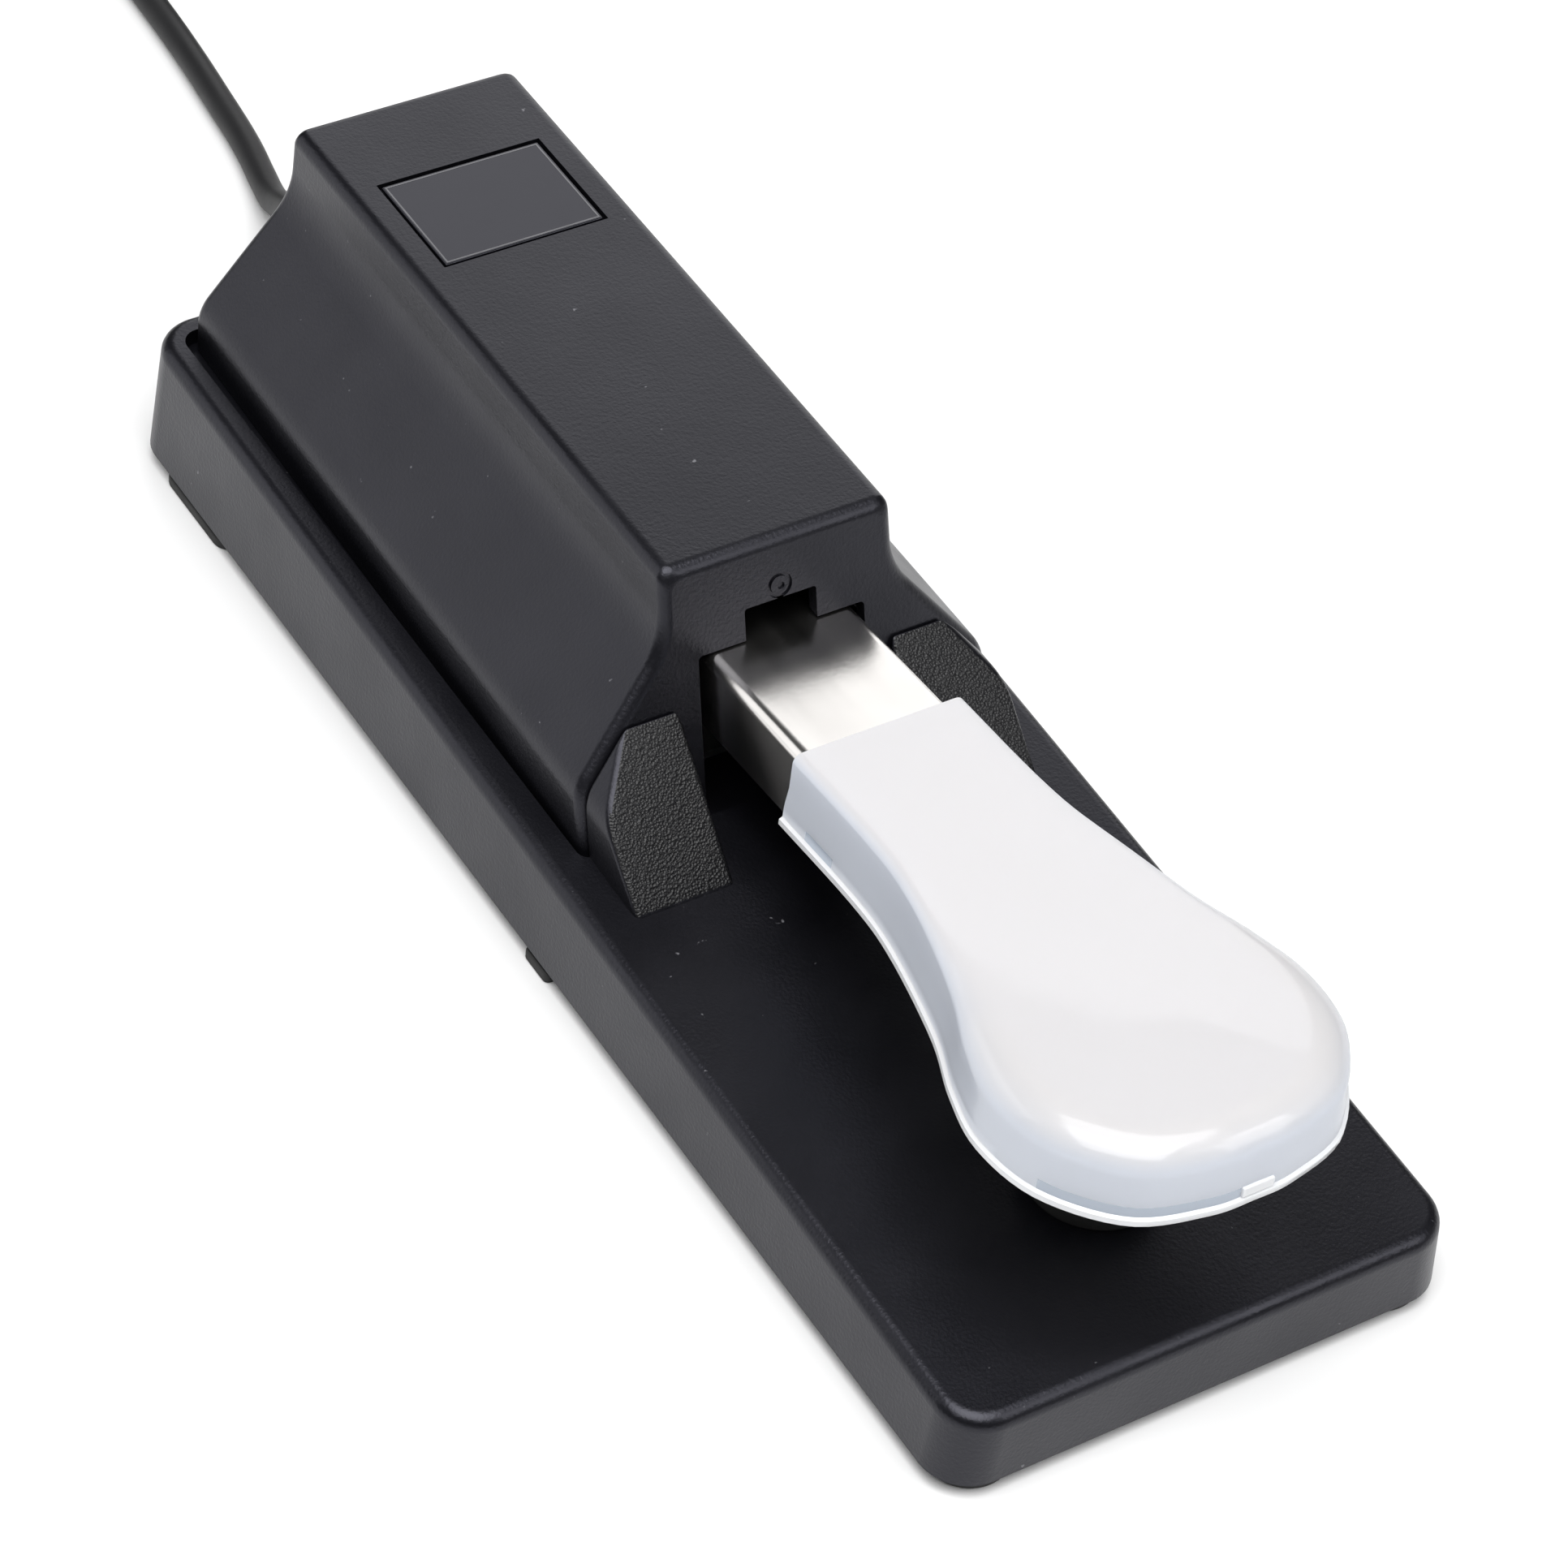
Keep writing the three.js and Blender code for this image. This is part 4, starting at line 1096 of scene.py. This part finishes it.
def add_plate_screws():
    """Countersunk screws with a cross recess."""
    for place in SCREW_PLACES:
        node = "plate_screw_" + place
        low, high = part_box(node)
        x, y, _ = centre_of(node)
        profile = [
            (0, low.z),
            (2.6 * MM, low.z),
            (2.75 * MM, low.z + 0.15 * MM),
            (1.45 * MM, plate_high.z),
            (1.45 * MM, high.z - 0.5 * MM),
            (1.0 * MM, high.z),
            (0, high.z),
        ]
        screw = turned("sheet_screw_" + place, profile, "Z", (x, y, 0))
        for across, along in ((0.35 * MM, 1.7 * MM), (1.7 * MM, 0.35 * MM)):
            arm = block("cross", (x - across, x + across), (y - along, y + along), (0, low.z + 1 * MM))
            cut(screw, arm)
        smooth(screw)
        finish(screw, STEEL, "frame", "zinc_steel", node)


# ---- cord ----


def coil_points():
    """Turns lie in three layers of three; each turn steps over to its next place in its last third."""
    places = []
    for layer in range(3):
        row = [(1 - i) * COIL_STEP for i in range(3)]
        if layer % 2:
            row.reverse()
        places += [(offset, CORD_DIAMETER / 2 + layer * COIL_STEP) for offset in row]
    points = []
    for i in range(COIL_TURNS * TURN_POINTS + 1):
        turn, share = divmod(i, TURN_POINTS)
        share /= TURN_POINTS
        here = places[min(turn, COIL_TURNS - 1)]
        there = places[min(turn + 1, COIL_TURNS - 1)]
        step = smooth_step((share - 0.66) / 0.34)
        offset = here[0] + (there[0] - here[0]) * step
        height = here[1] + (there[1] - here[1]) * step
        angle = 2 * math.pi * share
        radius = COIL_RADIUS + offset
        x = COIL_CENTRE[0] - radius * math.cos(angle)
        y = COIL_CENTRE[1] + radius * math.sin(angle)
        points.append((x, y, height))
    return points


def end_points(start, plug_x, plug_z):
    """From the coil's last turn up and back over the coil to the plug."""
    points = []
    steps = 10
    for i in range(1, steps + 1):
        angle = math.pi * i / steps
        x = plug_x - END_TURN - END_TURN * math.cos(angle)
        y = start[1] + 10 * MM + END_TURN * math.sin(angle)
        z = start[2] + (plug_z - start[2]) * smooth_step(i / steps)
        points.append((x, y, z))
    points.append((plug_x, start[1] + 6 * MM, plug_z))
    points.append((plug_x, start[1] + 1 * MM, plug_z))
    return points


def add_cord():
    plug_x, _, plug_z = centre_of("plug_tip")
    coil = coil_points()
    points = CORD_ROUTE + coil + end_points(coil[-1], plug_x, plug_z)
    curve = bpy.data.curves.new("cord_jacket", "CURVE")
    curve.dimensions = "3D"
    curve.bevel_depth = CORD_DIAMETER / 2
    curve.bevel_resolution = 5
    curve.resolution_u = 4
    line = curve.splines.new("BEZIER")
    line.bezier_points.add(len(points) - 1)
    for knot, point in zip(line.bezier_points, points):
        knot.co = point
        knot.handle_left_type = knot.handle_right_type = "AUTO"
    jacket = bpy.data.objects.new("cord_jacket", curve)
    scene.collection.objects.link(jacket)
    finish(jacket, VINYL, "frame", "cord_vinyl", "cord", "cord_coil", "cord_end")
    pieces = add_plug(plug_x, plug_z) + [add_tie()]


def add_plug(x, z):
    """The plug's turned pieces, each along the plug's own axis."""
    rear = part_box("plug_boot")[1].y
    made = []
    for part, node, material, slot, profile in (
        ("boot", "plug_boot", VINYL, "cord_vinyl", BOOT_PROFILE),
        ("barrel", "plug_barrel", NICKEL, "nickel", BARREL_PROFILE),
        ("sleeve", "plug_sleeve", NICKEL, "nickel", SLEEVE_PROFILE),
        ("ring", "plug_insulator", RUBBER, "rubber", INSULATOR_PROFILE),
        ("tip", "plug_tip", NICKEL, "nickel", TIP_PROFILE),
    ):
        along = [(radius * MM, rear - distance * MM) for radius, distance in profile]
        piece = turned("jack_" + part, along, "Y", (x, 0, z))
        smooth(piece, 40)
        finish(piece, material, "frame", slot, node)
        made.append(piece)
    return made


def add_tie():
    """A flat band round the turns."""
    x = COIL_CENTRE[0] + COIL_RADIUS
    y = centre_of("cord_tie")[1]
    z = CORD_DIAMETER / 2 + COIL_STEP
    half = COIL_STEP + CORD_DIAMETER / 2 + 0.1 * MM
    thick = 0.7 * MM

    def around(reach, corner):
        low = max(z - reach, 0.05 * MM)
        plan = [(x - reach, low), (x + reach, low), (x + reach, z + reach), (x - reach, z + reach)]
        return rounded([(u, v, corner) for u, v in plan])

    band = prism("tie_band", around(half + thick, 3 * MM), "Y", y - 3 * MM, y + 3 * MM)
    cut(band, prism("turns", around(half, 2.4 * MM), "Y", 0, 1))
    soften(band, 0.15 * MM, 2)
    return finish(band, RUBBER, "frame", "rubber", "cord_tie")


def add_strain_relief():
    """A shoulder and rings that get smaller towards the cord."""
    profile = list(RELIEF_SHOULDER)
    for i in range(RELIEF_RINGS):
        y = RELIEF_FIRST_RING_Y + i * RELIEF_RING_STEP
        radius = RELIEF_FIRST_RADIUS - i * RELIEF_TAPER
        profile += [(radius, y - 0.3), (radius - 0.25, y), (radius - 1, y + 0.4), (radius - 1.1, y + 1.7)]
        profile += [(radius - 0.55, y + 2), (radius - 0.4, y + 2.4)]
    profile += RELIEF_MOUTH
    along = [(radius * MM, y * MM) for radius, y in profile]
    relief = turned("relief", along, "Y", (0, 0, CORD_Z))
    smooth(relief, 40)
    finish(relief, VINYL, "frame", "rubber", "strain_relief")


# ---- inside ----


def add_spring():
    """A wound wire, turned into a mesh because the pedal's turn shortens it."""
    low, high = spring_low.z + SPRING_WIRE, spring_high.z - SPRING_WIRE
    curve = bpy.data.curves.new("spring", "CURVE")
    curve.dimensions = "3D"
    curve.bevel_depth = SPRING_WIRE
    curve.bevel_resolution = 4
    per_turn = 24
    count = SPRING_TURNS * per_turn
    line = curve.splines.new("POLY")
    line.points.add(count)
    middle = (spring_low.y + spring_high.y) / 2
    for i, knot in enumerate(line.points):
        angle = 2 * math.pi * i / per_turn
        rise = low + (high - low) * i / count
        knot.co = (SPRING_RADIUS * math.cos(angle), middle + SPRING_RADIUS * math.sin(angle), rise, 1)
    curve.use_fill_caps = True
    wound = bpy.data.objects.new("spring", curve)
    scene.collection.objects.link(wound)
    graph = bpy.context.evaluated_depsgraph_get()
    mesh = bpy.data.meshes.new_from_object(wound.evaluated_get(graph))
    bpy.data.objects.remove(wound)
    spring = bpy.data.objects.new("coil_spring", mesh)
    scene.collection.objects.link(spring)
    mesh.shade_smooth()
    finish(spring, STEEL, "frame", "zinc_steel", "return_spring")
    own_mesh(spring)


CARRIED_MATERIALS = {
    "zinc_steel": STEEL,
    "rubber": RUBBER,
    "nylon": NYLON,
    "circuit_board": BOARD,
    "switch_plastic": SWITCH,
    "lead_vinyl": LEAD,
}


def dress_carried_nodes():
    """The pieces inside keep their CAD shape and get rounded edges and a material."""
    slots = {part["node"]: part["material_slot"] for part in frame["record"]["subparts"]}
    for name, node in frame["nodes"].items():
        if node.hide_render:
            continue
        node.data.materials.clear()
        node.data.materials.append(CARRIED_MATERIALS[slots[name]])
        add_bevel(node, 0.15 * MM, 2, 50)


# ---- stage ----


def add_stage():
    floor = prism("floor", [(-3, -3), (3, -3), (3, 3), (-3, 3)], "Z", -0.02, 0)
    look = Look("floor", (0.86, 0.86, 0.86), 0.6)
    look.drive("Roughness", look.noise(8, 2), [(0.3, 0.55), (0.7, 0.65)])
    floor.data.materials.append(look.material)
    world = bpy.data.worlds.new("studio")
    world.use_nodes = True
    background = world.node_tree.nodes["Background"]
    background.inputs["Color"].default_value = (1, 1, 1, 1)
    background.inputs["Strength"].default_value = WORLD_BRIGHTNESS
    scene.world = world
    for light in LIGHTS:
        add_light(*light)


def add_light(name, place, aim, size, brightness):
    """A square soft box; its brightness is that of its own face."""
    data = bpy.data.lights.new(name, "AREA")
    data.size = size
    data.energy = brightness * math.pi * size**2
    lamp = bpy.data.objects.new(name, data)
    lamp.location = place
    lamp.rotation_euler = (Vector(aim) - Vector(place)).to_track_quat("-Z", "Y").to_euler()
    scene.collection.objects.link(lamp)


add_camera()
add_cord()
add_base()
add_housing()
add_badge()
add_lever()
add_cap()
add_feet()
add_bumper()
add_plate()
add_plate_screws()
add_strain_relief()
add_spring()
dress_carried_nodes()
add_stage()
scene.view_settings.view_transform = "Standard"
